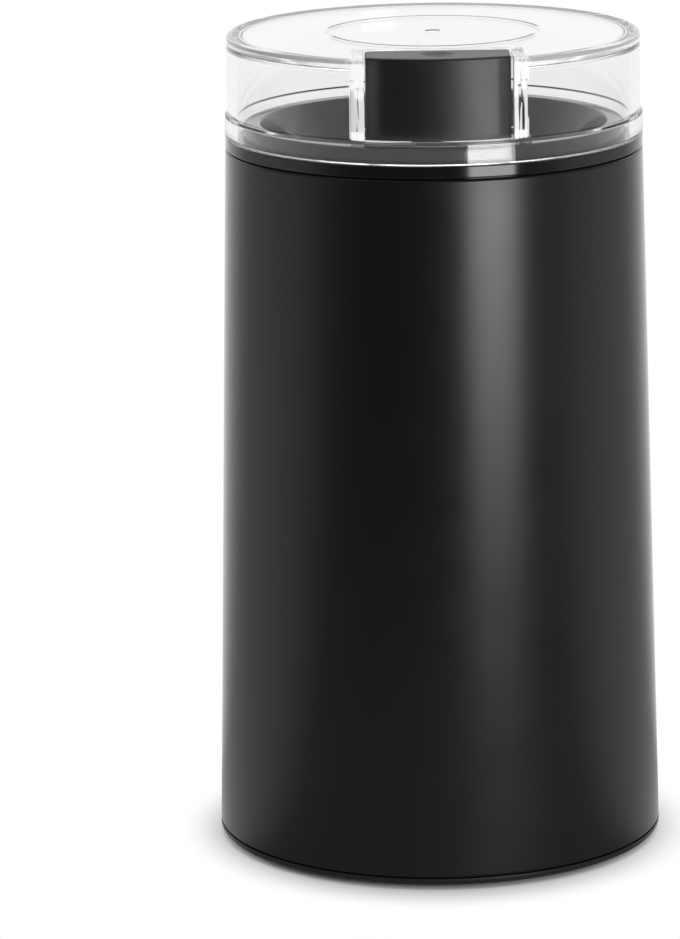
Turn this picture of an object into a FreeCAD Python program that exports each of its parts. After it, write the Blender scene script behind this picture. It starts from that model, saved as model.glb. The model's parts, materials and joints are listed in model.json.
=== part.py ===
"""Electric spice grinder with a clear lift-off lid and a push button.

Millimetres. +Z is up, the origin is at the middle of the feet's bottom face and the
button is on the -Y side. Each sub-part is one object of the document, and its label
is the name of its file.
"""

import FreeCAD, Part
import Sketcher
import math
import os

# Driving dimensions: alias, number, what it is. Lengths in millimetres, angles in degrees.
DIMENSIONS = (
    ("foot_reach", 0.8, "how far the feet stand below the base rim"),
    ("base_radius", 46.4, "outer radius at the base rim"),
    ("side_lean", 1.365, "lean of the outer cone from upright"),
    ("rim_height", 1.4, "visible rim of the base cover"),
    ("seam", 0.25, "height of the shadow gaps at both ends of the housing"),
    ("seam_depth", 1.0, "depth of the shadow gaps"),
    ("housing_height", 143.4, "height of the housing shell"),
    ("housing_wall", 2.2, "wall of the housing shell"),
    ("edge_round", 0.6, "rounding of the housing's two edges"),
    ("shoulder_height", 2.45, "exposed glossy shoulder under the lid"),
    ("fit_gap", 0.3, "clearance between pieces that slide or drop in"),
    ("running_gap", 0.05, "radial clearance of a shaft in its bush"),
    ("touch_gap", 0.05, "rest gap between pieces on different bodies"),
    ("collar_gap", 1.05, "gap between the collar and the lid's wall"),
    ("collar_height", 3.1, "collar above the shoulder"),
    ("collar_wall", 3.7, "wall of the collar at its mouth"),
    ("lip_round", 0.6, "rounding of the mouth and the collar rim"),
    ("funnel_depth", 14.2, "collar rim down to the gasket"),
    ("funnel_wall", 1.5, "wall of the funnel"),
    ("spigot_depth", 6.0, "top ring's spigot inside the housing"),
    ("spigot_wall", 1.6, "wall of the spigot"),
    ("funnel_inset", 4.6, "inner wall of the bowl inside the mouth"),
    ("bowl_depth", 33.0, "depth of the steel bowl"),
    ("bowl_wall", 0.7, "sheet of the steel bowl"),
    ("bowl_corner", 7.0, "inner radius of the bowl's bottom corner"),
    ("flange_width", 2.8, "flange of the bowl beyond its wall"),
    ("gasket_thick", 0.8, "gasket between bowl and funnel"),
    ("neck_radius", 7.0, "outer radius of the bowl's raised neck"),
    ("neck_height", 3.0, "bowl's raised neck over its floor"),
    ("lid_height", 20.85, "height of the lid"),
    ("lid_wall", 2.5, "side wall of the lid"),
    ("lid_plate", 2.2, "top plate of the lid"),
    ("lid_edge", 1.6, "rounding of the lid's top edge"),
    ("skirt_height", 4.65, "closed band below the lid's notch"),
    ("skirt_proud", 0.15, "how far the band stands out from the lid's wall"),
    ("pocket_wall", 2.35, "side and back walls of the lid's pocket"),
    ("pocket_gap", 0.4, "gap between button and pocket"),
    ("ring_radius", 21.6, "middle of the round line on the lid"),
    ("ring_width", 0.7, "width of the round line"),
    ("ring_depth", 0.3, "depth of the round line and the gate mark"),
    ("gate_radius", 2.0, "gate mark in the middle of the lid"),
    ("button_width", 28.9, "width of the button"),
    ("button_depth", 11.9, "top of the button, front to back"),
    ("button_inset", 1.2, "button's front, at its lower edge, inside the collar's outside"),
    ("button_drop", 0.2, "button's top below the lid's top"),
    ("button_wall", 1.8, "walls of the hollow button"),
    ("button_edge", 0.5, "rounding of the button's edges"),
    ("button_travel", 3.0, "press of the button"),
    ("dimple_radius", 3.7, "finger dimple"),
    ("dimple_depth", 0.6, "depth of the finger dimple"),
    ("guide_wall", 1.4, "walls of the button's guide"),
    ("guide_depth", 5.6, "guide floor below the collar rim"),
    ("guide_floor", 1.6, "floor of the button's guide"),
    ("stem_width", 3.0, "button's stem, across"),
    ("stem_depth", 1.6, "button's stem, front to back"),
    ("stem_side", 6.5, "middle of the stem beside the centre plane"),
    ("stem_inset", 1.8, "middle of the stem behind the button's front"),
    ("spring_radius", 2.6, "middle of the wire of the button's spring"),
    ("spring_wire", 0.6, "wire of the button's spring"),
    ("spring_turns", 8, "turns of the button's spring"),
    ("fine_wire", 0.4, "wire of the brush springs and the interlock spring"),
    ("fine_turns", 5, "turns of the fine springs"),
    ("switch_height", 9.5, "body of the power switch"),
    ("switch_length", 19.8, "body of the power switch"),
    ("switch_depth", 6.0, "body of both switches"),
    ("switch_inset", 0.4, "middle of both switches behind the middle of the stem"),
    ("switch_level", 12.0, "bottom of the power switch above the carrier"),
    ("plunger_radius", 1.2, "switch plunger"),
    ("plunger_reach", 4.0, "plunger above the switch"),
    ("plunger_length", 7.0, "switch plunger"),
    ("plunger_side", 2.2, "plunger from the middle of the switch"),
    ("lever_thick", 0.6, "spring steel lever of the switch"),
    ("lever_width", 3.4, "lever, front to back"),
    ("hinge_side", 7.7, "lever hinge from the middle of the switch"),
    ("hinge_radius", 0.8, "lever hinge pin"),
    ("interlock_turn", 32.0, "interlock switch round the axis from the front"),
    ("interlock_length", 12.8, "body of the interlock switch"),
    ("interlock_height", 6.3, "body of the interlock switch"),
    ("pin_side", 2.48, "middle of the interlock pin beside the button"),
    ("pin_radius", 1.2, "interlock pin"),
    ("pin_inset", 2.0, "middle of the interlock pin inside the collar's outside"),
    ("pin_rise", 2.0, "interlock pin's rise when the lid comes off"),
    ("pin_flange", 2.1, "radius of the pin's spring flange"),
    ("post_radius", 2.5, "posts that carry the motor carrier"),
    ("post_inset", 4.6, "middle of the posts inside the housing's inner wall"),
    ("post_count", 3, "number of posts"),
    ("screw_radius", 1.3, "thread of the small screws"),
    ("head_radius", 2.4, "head of the small screws"),
    ("head_height", 1.6, "head of the small screws"),
    ("carrier_drop", 2.7, "carrier's top below the bowl"),
    ("carrier_thick", 3.0, "plate of the motor carrier"),
    ("carrier_inset", 4.2, "edge of the carrier's plate inside the circle of the posts"),
    ("ear_width", 9.0, "ears of the carrier"),
    ("mount_thick", 1.5, "rubber mounts under the carrier's ears"),
    ("ledge_depth", 14.0, "ledges in the housing under the rubber mounts"),
    ("shaft_radius", 3.0, "motor shaft"),
    ("thread_radius", 2.5, "threaded end of the shaft"),
    ("bush_radius", 5.5, "bronze bushes"),
    ("upper_bush_height", 8.0, "upper bush"),
    ("lower_bush_height", 7.0, "lower bush"),
    ("boss_wall", 2.4, "wall round the bushes"),
    ("seal_height", 4.4, "shaft seal"),
    ("blade_lift", 6.0, "blade above the bowl's floor"),
    ("blade_thick", 1.5, "blade"),
    ("blade_clearance", 2.7, "tip of the blade to the bowl's wall"),
    ("blade_width", 11.0, "blade at its middle"),
    ("blade_tip_width", 6.5, "blade at its tips"),
    ("blade_bend", 9.5, "start of the blade's bends"),
    ("blade_slope", 9.4, "run of the blade's sloping arms"),
    ("blade_rise", 5.0, "rise of the upswept blade arm"),
    ("blade_fall", 2.6, "fall of the other blade arm"),
    ("nut_height", 4.0, "blade nut"),
    ("nut_flats", 8.0, "blade nut across flats"),
    ("stack_top", 18.0, "top of the stator below the carrier's top"),
    ("stator_length", 56.0, "stator along X"),
    ("stator_width", 46.0, "stator along Y"),
    ("stator_frame", 6.0, "back iron of the stator"),
    ("stator_corner", 8.0, "corners of the stator"),
    ("bore_radius", 14.5, "bore of the stator"),
    ("shoe_thick", 3.0, "pole shoes"),
    ("shoe_half", 14.9, "half width of the pole shoes"),
    ("pole_width", 16.0, "necks of the poles"),
    ("coil_overhang", 6.0, "field coils beyond the stack"),
    ("coil_gap", 0.25, "insulation gap round the field coils"),
    ("air_gap", 0.6, "armature to pole shoes"),
    ("slot_count", 12, "armature slots"),
    ("slot_width", 2.2, "armature slots"),
    ("slot_depth", 5.6, "armature slots"),
    ("winding_overhang", 6.5, "armature winding beyond its core"),
    ("commutator_radius", 9.0, "commutator"),
    ("commutator_height", 11.0, "commutator"),
    ("commutator_drop", 9.5, "commutator's top below the stack"),
    ("segment_count", 24, "commutator segments"),
    ("segment_gap", 0.5, "grooves between the segments"),
    ("brush_size", 5.0, "carbon brush section"),
    ("brush_length", 11.0, "carbon brush"),
    ("holder_wall", 0.8, "brush holder sheet"),
    ("holder_length", 19.0, "brush holder"),
    ("bracket_drop", 29.0, "lower bracket's plate below the stack"),
    ("bracket_thick", 4.0, "plate of the lower bracket"),
    ("bracket_inset", 10.4, "plate of the lower bracket inside the housing's inner wall"),
    ("leg_radius", 4.0, "legs of the bracket and the carrier"),
    ("motor_screw_radius", 1.7, "long screws through the stator"),
    ("fan_inset", 6.0, "cooling fan inside the edge of the lower bracket"),
    ("fan_lift", 13.1, "cooling fan above the base plate"),
    ("fan_height", 8.0, "cooling fan"),
    ("fan_drop", 4.5, "fan's top below the lower bracket"),
    ("fan_blades", 9, "blades of the fan"),
    ("fan_web", 1.4, "disc and blades of the fan"),
    ("floor_lift", 1.8, "base plate's underside above the rim"),
    ("floor_thick", 2.4, "base plate"),
    ("cover_spigot", 4.6, "base cover's spigot inside the housing"),
    ("vent_count", 16, "air slots in the base"),
    ("vent_width", 2.4, "air slots"),
    ("vent_inner", 14.0, "inner end of the air slots"),
    ("vent_outer", 26.0, "outer end of the air slots"),
    ("foot_radius", 5.0, "rubber feet"),
    ("foot_taper", 0.45, "taper of the feet"),
    ("foot_inset", 10.4, "middle of the feet inside the base rim"),
    ("foot_turn", 45.0, "first foot round the axis from +X"),
    ("foot_count", 4, "rubber feet"),
    ("base_screw_inset", 5.1, "base screws inside the housing's inner wall"),
    ("base_boss_radius", 3.4, "screw bosses in the housing"),
    ("base_boss_height", 18.0, "screw bosses in the housing"),
    ("inlet_level", 14.0, "cord inlet above the feet"),
    ("inlet_bore", 3.6, "bore of the cord inlet"),
    ("inlet_half", 5.4, "half width of the cord inlet's neck"),
    ("inlet_flange", 7.4, "half width of the cord inlet's inner flange"),
    ("inlet_recess", 0.2, "cord inlet's face inside the housing's outside"),
    ("inlet_depth", 10.0, "cord inlet along its bore"),
    ("clamp_length", 22.0, "cord clamp bar"),
    ("clamp_width", 5.0, "cord clamp bar"),
    ("clamp_thick", 2.6, "cord clamp bar"),
    ("clamp_inset", 4.4, "middle of the cord clamp behind the inlet"),
    ("clamp_post_side", 8.0, "clamp posts beside the cord"),
    ("clamp_post_radius", 2.6, "clamp posts on the base"),
    ("terminal_inset", 18.0, "terminal block inside the circle of the base screws"),
    ("terminal_length", 15.0, "terminal block and suppressor"),
    ("terminal_width", 7.0, "terminal block and suppressor"),
    ("terminal_height", 9.0, "terminal block and suppressor"),
    ("terminal_well", 2.2, "screw wells of the terminal block"),
    ("lead_inset", 2.5, "leads inside the housing's inner wall"),
    ("lead_rise", 3.2, "power lead above the bottom of the switch"),
    ("lead_bend", 3.0, "room for the bends of the leads"),
    ("wire_radius", 0.9, "insulated leads inside"),
)

HALF_TURN = 180.0
HEXAGON_SIDES = 6
WIRE_ARCS = 3  # arcs round a spring's wire

doc = FreeCAD.newDocument("SpiceGrinder")
sheet = doc.addObject("Spreadsheet::Sheet", "Sizes")
for row, (alias, number, meaning) in enumerate(DIMENSIONS, start=1):
    sheet.set("A%d" % row, meaning)
    sheet.set("B%d" % row, str(number))
    sheet.setAlias("B%d" % row, alias)
doc.recompute()


class Size:
    """A number together with the expression that ties it to the sheet."""

    def __init__(self, number, text):
        self.number = float(number)
        self.text = text

    def joined(self, sign, other, number):
        return Size(number, "(%s %s %s)" % (self.text, sign, size_of(other).text))

    def __add__(self, other):
        return self.joined("+", other, self.number + size_of(other).number)

    def __radd__(self, other):
        return size_of(other) + self

    def __sub__(self, other):
        return self.joined("-", other, self.number - size_of(other).number)

    def __rsub__(self, other):
        return size_of(other) - self

    def __mul__(self, other):
        return self.joined("*", other, self.number * size_of(other).number)

    def __rmul__(self, other):
        return size_of(other) * self

    def __truediv__(self, other):
        return self.joined("/", other, self.number / size_of(other).number)

    def __neg__(self):
        return Size(-self.number, "(-1 * %s)" % self.text)

    def __float__(self):
        return self.number


def size_of(value):
    """A plain number as a Size; a Size comes back as it is."""
    if isinstance(value, Size):
        return value
    return Size(value, repr(float(value)))


def sine(angle):
    return Size(math.sin(math.radians(angle.number)), "sin(%s)" % angle.text)


def cosine(angle):
    return Size(math.cos(math.radians(angle.number)), "cos(%s)" % angle.text)


def tangent(angle):
    return Size(math.tan(math.radians(angle.number)), "tan(%s)" % angle.text)


def root(square):
    return Size(math.sqrt(square.number), "sqrt(%s)" % square.text)


class Dimensions:
    """The sheet's cells by name, each as a Size."""

    def __init__(self):
        for alias in (entry[0] for entry in DIMENSIONS):
            setattr(self, alias, Size(sheet.get(alias), "Sizes.%s" % alias))


d = Dimensions()


def outer_radius(level):
    """Radius of the one outer cone at a height."""
    return d.base_radius - (level - d.foot_reach) * tangent(d.side_lean)


# Heights, from the feet up.
rim_top = d.foot_reach + d.rim_height
housing_bottom = rim_top + d.seam
housing_top = housing_bottom + d.housing_height
shoulder_bottom = housing_top + d.seam
shoulder_top = shoulder_bottom + d.shoulder_height
collar_top = shoulder_top + d.collar_height
funnel_bottom = collar_top - d.funnel_depth
flange_top = funnel_bottom - d.gasket_thick
bowl_floor = flange_top - d.bowl_depth
bowl_bottom = bowl_floor - d.bowl_wall
carrier_top = bowl_bottom - d.carrier_drop
carrier_bottom = carrier_top - d.carrier_thick
ledge_top = carrier_bottom - d.mount_thick
floor_bottom = d.foot_reach + d.floor_lift
floor_top = floor_bottom + d.floor_thick
fan_bottom = floor_top + d.fan_lift
fan_top = fan_bottom + d.fan_height
bracket_bottom = fan_top + d.fan_drop
bracket_top = bracket_bottom + d.bracket_thick
stack_bottom = bracket_bottom + d.bracket_drop
stack_top = carrier_top - d.stack_top
stack_height = stack_top - stack_bottom
commutator_top = stack_bottom - d.commutator_drop
commutator_bottom = commutator_top - d.commutator_height
lid_bottom = shoulder_top + d.touch_gap
lid_top = lid_bottom + d.lid_height
notch_bottom = lid_bottom + d.skirt_height

# Radii, from the housing's cone inwards.
collar_radius = outer_radius(shoulder_top) - d.lid_wall - d.collar_gap
mouth_radius = collar_radius - d.collar_wall
bowl_radius = mouth_radius - d.funnel_inset
blade_radius = bowl_radius - d.blade_clearance
button_front = collar_radius - d.button_inset
stem_radius = button_front - d.stem_inset
switch_radius = stem_radius - d.switch_inset
pin_circle = collar_radius - d.pin_inset
post_circle = outer_radius(carrier_top) - d.housing_wall - d.post_inset
carrier_radius = post_circle - d.carrier_inset
foot_circle = d.base_radius - d.foot_inset
base_screw_circle = outer_radius(floor_top) - d.housing_wall - d.base_screw_inset
terminal_shift = base_screw_circle - d.terminal_inset
bracket_radius = outer_radius(bracket_top) - d.housing_wall - d.bracket_inset
fan_radius = bracket_radius - d.fan_inset

# Button and its guide.
guide_floor_top = collar_top - d.guide_depth
guide_floor_bottom = guide_floor_top - d.guide_floor
button_bottom = guide_floor_top + d.button_travel + d.fit_gap
button_top = lid_top - d.button_drop
button_half = d.button_width / 2
button_front_top = button_front - (button_top - button_bottom) * tangent(d.side_lean)
button_back = button_front_top - d.button_depth
guide_half = button_half + d.fit_gap
guide_back = button_back - d.fit_gap
pocket_half = button_half + d.pocket_gap
pin_x = button_half + d.pin_side
pin_y = -root(pin_circle * pin_circle - pin_x * pin_x)
pocket_back = button_back - d.pocket_gap

# Switches stand on the carrier, in front of the bowl.
switch_bottom = carrier_top + d.switch_level
switch_top = switch_bottom + d.switch_height
plunger_top = switch_top + d.plunger_reach
lever_bottom = plunger_top + d.touch_gap
lever_top = lever_bottom + d.lever_thick
stem_bottom = lever_top + d.touch_gap
lead_circle = outer_radius(switch_bottom) - d.housing_wall - d.lead_inset

# Cord inlet, from its outer face inwards.
inlet_top = d.inlet_level + d.inlet_half
inlet_rear = outer_radius(d.inlet_level) - d.inlet_recess - d.inlet_depth
clamp_circle = inlet_rear - d.clamp_inset
clamp_low = d.inlet_level + d.inlet_bore - d.bowl_wall

# Directions round the axis, from +X.
to_front = size_of(-90.0)
to_back = size_of(90.0)


def bind(item, prop, size):
    """Sets a property from a Size and ties it to the sheet."""
    item.setExpression(prop, size_of(size).text)


def place(item, x=0.0, y=0.0, z=0.0):
    """Places a primitive by sizes."""
    item.Placement.Base = FreeCAD.Vector(float(x), float(y), float(z))
    for axis, size in (("x", x), ("y", y), ("z", z)):
        if isinstance(size, Size):
            bind(item, "Placement.Base.%s" % axis, size)


def box(name, low, high):
    """Block between two corners."""
    item = doc.addObject("Part::Box", name)
    for prop, start, end in zip(("Length", "Width", "Height"), low, high):
        bind(item, prop, size_of(end) - start)
    place(item, *low)
    return item


def cylinder(name, radius, low, high, x=0.0, y=0.0):
    """Upright cylinder between two heights."""
    item = doc.addObject("Part::Cylinder", name)
    bind(item, "Radius", radius)
    bind(item, "Height", size_of(high) - low)
    place(item, x, y, low)
    return item


def cone(name, low_radius, high_radius, low, high, x=0.0, y=0.0):
    """Upright cone between two heights."""
    item = doc.addObject("Part::Cone", name)
    bind(item, "Radius1", low_radius)
    bind(item, "Radius2", high_radius)
    bind(item, "Height", size_of(high) - low)
    place(item, x, y, low)
    return item


def lying_cylinder(name, radius, start, end, x, z):
    """Cylinder along +Y between two Y values."""
    item = doc.addObject("Part::Cylinder", name)
    bind(item, "Radius", radius)
    bind(item, "Height", size_of(end) - start)
    item.Placement.Rotation = FreeCAD.Rotation(FreeCAD.Vector(1, 0, 0), -90)
    place(item, x, start, z)
    return item


def hexagon(name, flats, low, high):
    """Upright hexagonal prism."""
    item = doc.addObject("Part::Prism", name)
    item.Polygon = HEXAGON_SIDES
    flat_to_corner = size_of(HALF_TURN / HEXAGON_SIDES)
    bind(item, "Circumradius", flats / (2 * cosine(flat_to_corner)))
    bind(item, "Height", size_of(high) - low)
    place(item, 0, 0, low)
    return item


def cut(name, base, tool):
    """Base without tool."""
    item = doc.addObject("Part::Cut", name)
    item.Base = base
    item.Tool = tool
    return item


def fuse(name, parts):
    """Parts that meet, as one solid."""
    item = doc.addObject("Part::MultiFuse", name)
    item.Shapes = parts
    item.Refine = True
    return item


def common(name, parts):
    """What parts share."""
    item = doc.addObject("Part::MultiCommon", name)
    item.Shapes = parts
    return item


def group(name, parts):
    """Separate solids of one sub-part."""
    item = doc.addObject("Part::Compound", name)
    item.Links = parts
    return item


def turned(item, angle, x=0.0, y=0.0, z=0.0):
    """Turns a finished item about the axis of the machine."""
    item.Placement.Rotation = FreeCAD.Rotation(FreeCAD.Vector(0, 0, 1), float(angle))
    if isinstance(angle, Size):
        bind(item, "Placement.Rotation.Angle", angle)
    place(item, x, y, z)
    return item


def new_body(name):
    return doc.addObject("PartDesign::Body", name)


def origin_of(body, role):
    """One plane or axis of the body's own origin."""
    return next(item for item in body.Origin.OriginFeatures if item.Role == role)


def new_sketch(body, name, role="XY_Plane", lift=None):
    """Sketch on one of the body's planes, lifted along the plane's normal."""
    sketch = body.newObject("Sketcher::SketchObject", name)
    sketch.AttachmentSupport = [(origin_of(body, role), "")]
    sketch.MapMode = "FlatFace"
    if lift is not None:
        sketch.AttachmentOffset = FreeCAD.Placement(
            FreeCAD.Vector(0, 0, float(lift)), FreeCAD.Rotation()
        )
        bind(sketch, "AttachmentOffset.Base.z", lift)
    return sketch


def fix_point(sketch, edge, end, x, y):
    """Ties one end of an edge to sizes, measured from the sketch's origin."""
    for kind, size, axis in (("DistanceX", x, -2), ("DistanceY", y, -1)):
        size = size_of(size)
        if abs(size.number) < 1e-9:
            sketch.addConstraint(Sketcher.Constraint("PointOnObject", edge, end, axis))
        else:
            index = sketch.addConstraint(
                Sketcher.Constraint(kind, -1, 1, edge, end, size.number)
            )
            bind(sketch, "Constraints[%d]" % index, size)


def draw_outline(sketch, points):
    """Closed outline of straight edges, each corner tied to sizes."""
    corners = [FreeCAD.Vector(float(x), float(y), 0) for x, y in points]
    first = sketch.GeometryCount
    count = len(points)
    for index in range(count):
        edge = Part.LineSegment(corners[index], corners[(index + 1) % count])
        sketch.addGeometry(edge, False)
    for index in range(count):
        following = first + (index + 1) % count
        sketch.addConstraint(
            Sketcher.Constraint("Coincident", first + index, 2, following, 1)
        )
    for index, (x, y) in enumerate(points):
        fix_point(sketch, first + index, 1, x, y)


def draw_rectangle(sketch, low_x, low_y, high_x, high_y):
    """Rectangle between two corners."""
    draw_outline(
        sketch, [(low_x, low_y), (high_x, low_y), (high_x, high_y), (low_x, high_y)]
    )


def draw_circle(sketch, radius, x=0.0, y=0.0):
    """Circle with its middle and radius tied to sizes."""
    middle = FreeCAD.Vector(float(x), float(y), 0)
    index = sketch.addGeometry(
        Part.Circle(middle, FreeCAD.Vector(0, 0, 1), float(radius)), False
    )
    fix_point(sketch, index, 3, x, y)
    bound = sketch.addConstraint(Sketcher.Constraint("Radius", index, float(radius)))
    bind(sketch, "Constraints[%d]" % bound, radius)


def draw_tower(sketch, half_width, back, front_radius):
    """Footprint of the button: straight sides and back, front on a circle about the axis."""
    half, rear, radius = float(half_width), -float(back), float(front_radius)
    front = -math.sqrt(radius * radius - half * half)
    corners = [
        FreeCAD.Vector(half, front, 0),
        FreeCAD.Vector(half, rear, 0),
        FreeCAD.Vector(-half, rear, 0),
        FreeCAD.Vector(-half, front, 0),
    ]
    for start, end in zip(corners, corners[1:]):
        sketch.addGeometry(Part.LineSegment(start, end), False)
    angle = math.asin(half / radius)
    whole = Part.Circle(FreeCAD.Vector(0, 0, 0), FreeCAD.Vector(0, 0, 1), radius)
    down = -math.pi / 2
    sketch.addGeometry(Part.ArcOfCircle(whole, down - angle, down + angle), False)
    for edge, end, other, start in ((0, 2, 1, 1), (1, 2, 2, 1), (2, 2, 3, 1), (3, 2, 0, 1)):
        sketch.addConstraint(Sketcher.Constraint("Coincident", edge, end, other, start))
    sketch.addConstraint(Sketcher.Constraint("Coincident", 3, 3, -1, 1))
    bound = sketch.addConstraint(Sketcher.Constraint("Radius", 3, radius))
    bind(sketch, "Constraints[%d]" % bound, front_radius)
    fix_point(sketch, 0, 2, half_width, -size_of(back))
    fix_point(sketch, 1, 2, -size_of(half_width), -size_of(back))
    sketch.addConstraint(Sketcher.Constraint("Vertical", 0))
    sketch.addConstraint(Sketcher.Constraint("Vertical", 2))


def revolve(body, name, points, kind="Revolution"):
    """Turns an outline of radius and height about the machine's axis."""
    sketch = new_sketch(body, name + "Outline", "XZ_Plane")
    draw_outline(sketch, points)
    feature = body.newObject("PartDesign::%s" % kind, name)
    feature.Profile = sketch
    feature.ReferenceAxis = (sketch, ["V_Axis"])
    feature.Angle = 360
    sketch.Visibility = False
    return feature


def groove(body, name, points):
    """Removes a turned outline."""
    return revolve(body, name, points, "Groove")


def pad(body, name, sketch, length):
    """Raises a sketch towards +Z."""
    feature = body.newObject("PartDesign::Pad", name)
    feature.Profile = sketch
    bind(feature, "Length", length)
    return feature


def pocket(body, name, sketch, length):
    """Removes a sketch's shape from its plane towards +Z."""
    feature = body.newObject("PartDesign::Pocket", name)
    feature.Profile = sketch
    feature.Reversed = True
    bind(feature, "Length", length)
    return feature


def polar(body, name, originals, count):
    """Repeats features round the machine's axis."""
    feature = body.newObject("PartDesign::PolarPattern", name)
    feature.Originals = originals
    feature.Axis = (origin_of(body, "Z_Axis"), [""])
    feature.Angle = 360
    bind(feature, "Occurrences", count)
    body.Tip = feature
    return feature


def circle_edges(shape, level, radius, slack=0.02):
    """Names of the round edges at one height and radius about the machine's axis."""
    names = []
    for index, edge in enumerate(shape.Edges, start=1):
        box_of_edge = edge.BoundBox
        if box_of_edge.ZLength > slack or abs(box_of_edge.ZMin - float(level)) > slack:
            continue
        point = edge.valueAt((edge.FirstParameter + edge.LastParameter) / 2)
        round_edge = isinstance(edge.Curve, Part.Circle)
        if round_edge and abs(math.hypot(point.x, point.y) - float(radius)) < slack:
            names.append("Edge%d" % index)
    return names


def round_edges(body, name, feature, names, radius):
    """Rounds named edges of the feature before."""
    item = body.newObject("PartDesign::Fillet", name)
    item.Base = (feature, names)
    item.Radius = float(radius)
    bind(item, "Radius", radius)
    body.Tip = item
    return item


def polar_angles(count, first):
    """Angles evenly round the axis; the count is a whole number."""
    full_turn = 360.0
    for index in range(int(round(count.number))):
        yield index, first + size_of(full_turn * index) / count


def polar_spots(circle, count, first):
    """Positions evenly round the axis."""
    for index, angle in polar_angles(count, first):
        yield index, circle * cosine(angle), circle * sine(angle)


def build_housing_shell():
    """Tapered tube with ledges for the motor carrier, screw bosses and the inlet's notch."""
    body = new_body("housing_shell")
    shell = revolve(body, "Shell", [
        (outer_radius(housing_bottom), housing_bottom),
        (outer_radius(housing_top), housing_top),
        (outer_radius(housing_top) - d.housing_wall, housing_top),
        (outer_radius(housing_bottom) - d.housing_wall, housing_bottom),
    ])
    doc.recompute()
    names = circle_edges(shell.Shape, housing_bottom, outer_radius(housing_bottom))
    names += circle_edges(shell.Shape, housing_top, outer_radius(housing_top))
    round_edges(body, "SoftEdges", shell, names, d.edge_round)

    ledge_outer = outer_radius(ledge_top) - d.housing_wall / 2
    sketch = new_sketch(body, "LedgeSketch", "XY_Plane", ledge_top - d.ledge_depth)
    half = d.ear_width / 2
    draw_rectangle(sketch, -half, post_circle - d.post_radius, half, ledge_outer)
    ledge = pad(body, "Ledge", sketch, d.ledge_depth)
    sketch = new_sketch(body, "LedgeHoleSketch", "XY_Plane", ledge_top - d.ledge_depth)
    draw_circle(sketch, d.head_radius + d.fit_gap, 0, post_circle)
    hole = pocket(body, "LedgeHole", sketch, d.ledge_depth)
    polar(body, "Ledges", [ledge, hole], d.post_count)

    sketch = new_sketch(body, "BossSketch", "XY_Plane", floor_top)
    draw_circle(sketch, d.base_boss_radius, 0, -base_screw_circle)
    boss = pad(body, "Boss", sketch, d.base_boss_height)
    sketch = new_sketch(body, "WebSketch", "XY_Plane", floor_top + d.cover_spigot)
    web_outer = outer_radius(floor_top + d.base_boss_height) - d.housing_wall / 2
    web_half = d.base_boss_radius / 2
    draw_rectangle(sketch, -web_half, -web_outer, web_half, -base_screw_circle)
    web = pad(body, "BossWeb", sketch, d.base_boss_height - d.cover_spigot)
    sketch = new_sketch(body, "BossHoleSketch", "XY_Plane", floor_top)
    draw_circle(sketch, d.screw_radius, 0, -base_screw_circle)
    hole = pocket(body, "BossHole", sketch, d.base_boss_height - d.boss_wall)
    polar(body, "Bosses", [boss, web, hole], d.post_count)

    sketch = new_sketch(body, "InletSketch", "XZ_Plane", -outer_radius(0))
    draw_rectangle(sketch, -d.inlet_half, 0, d.inlet_half, inlet_top)
    notch = pocket(body, "InletNotch", sketch, d.housing_wall * 2)
    body.Tip = notch


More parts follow.
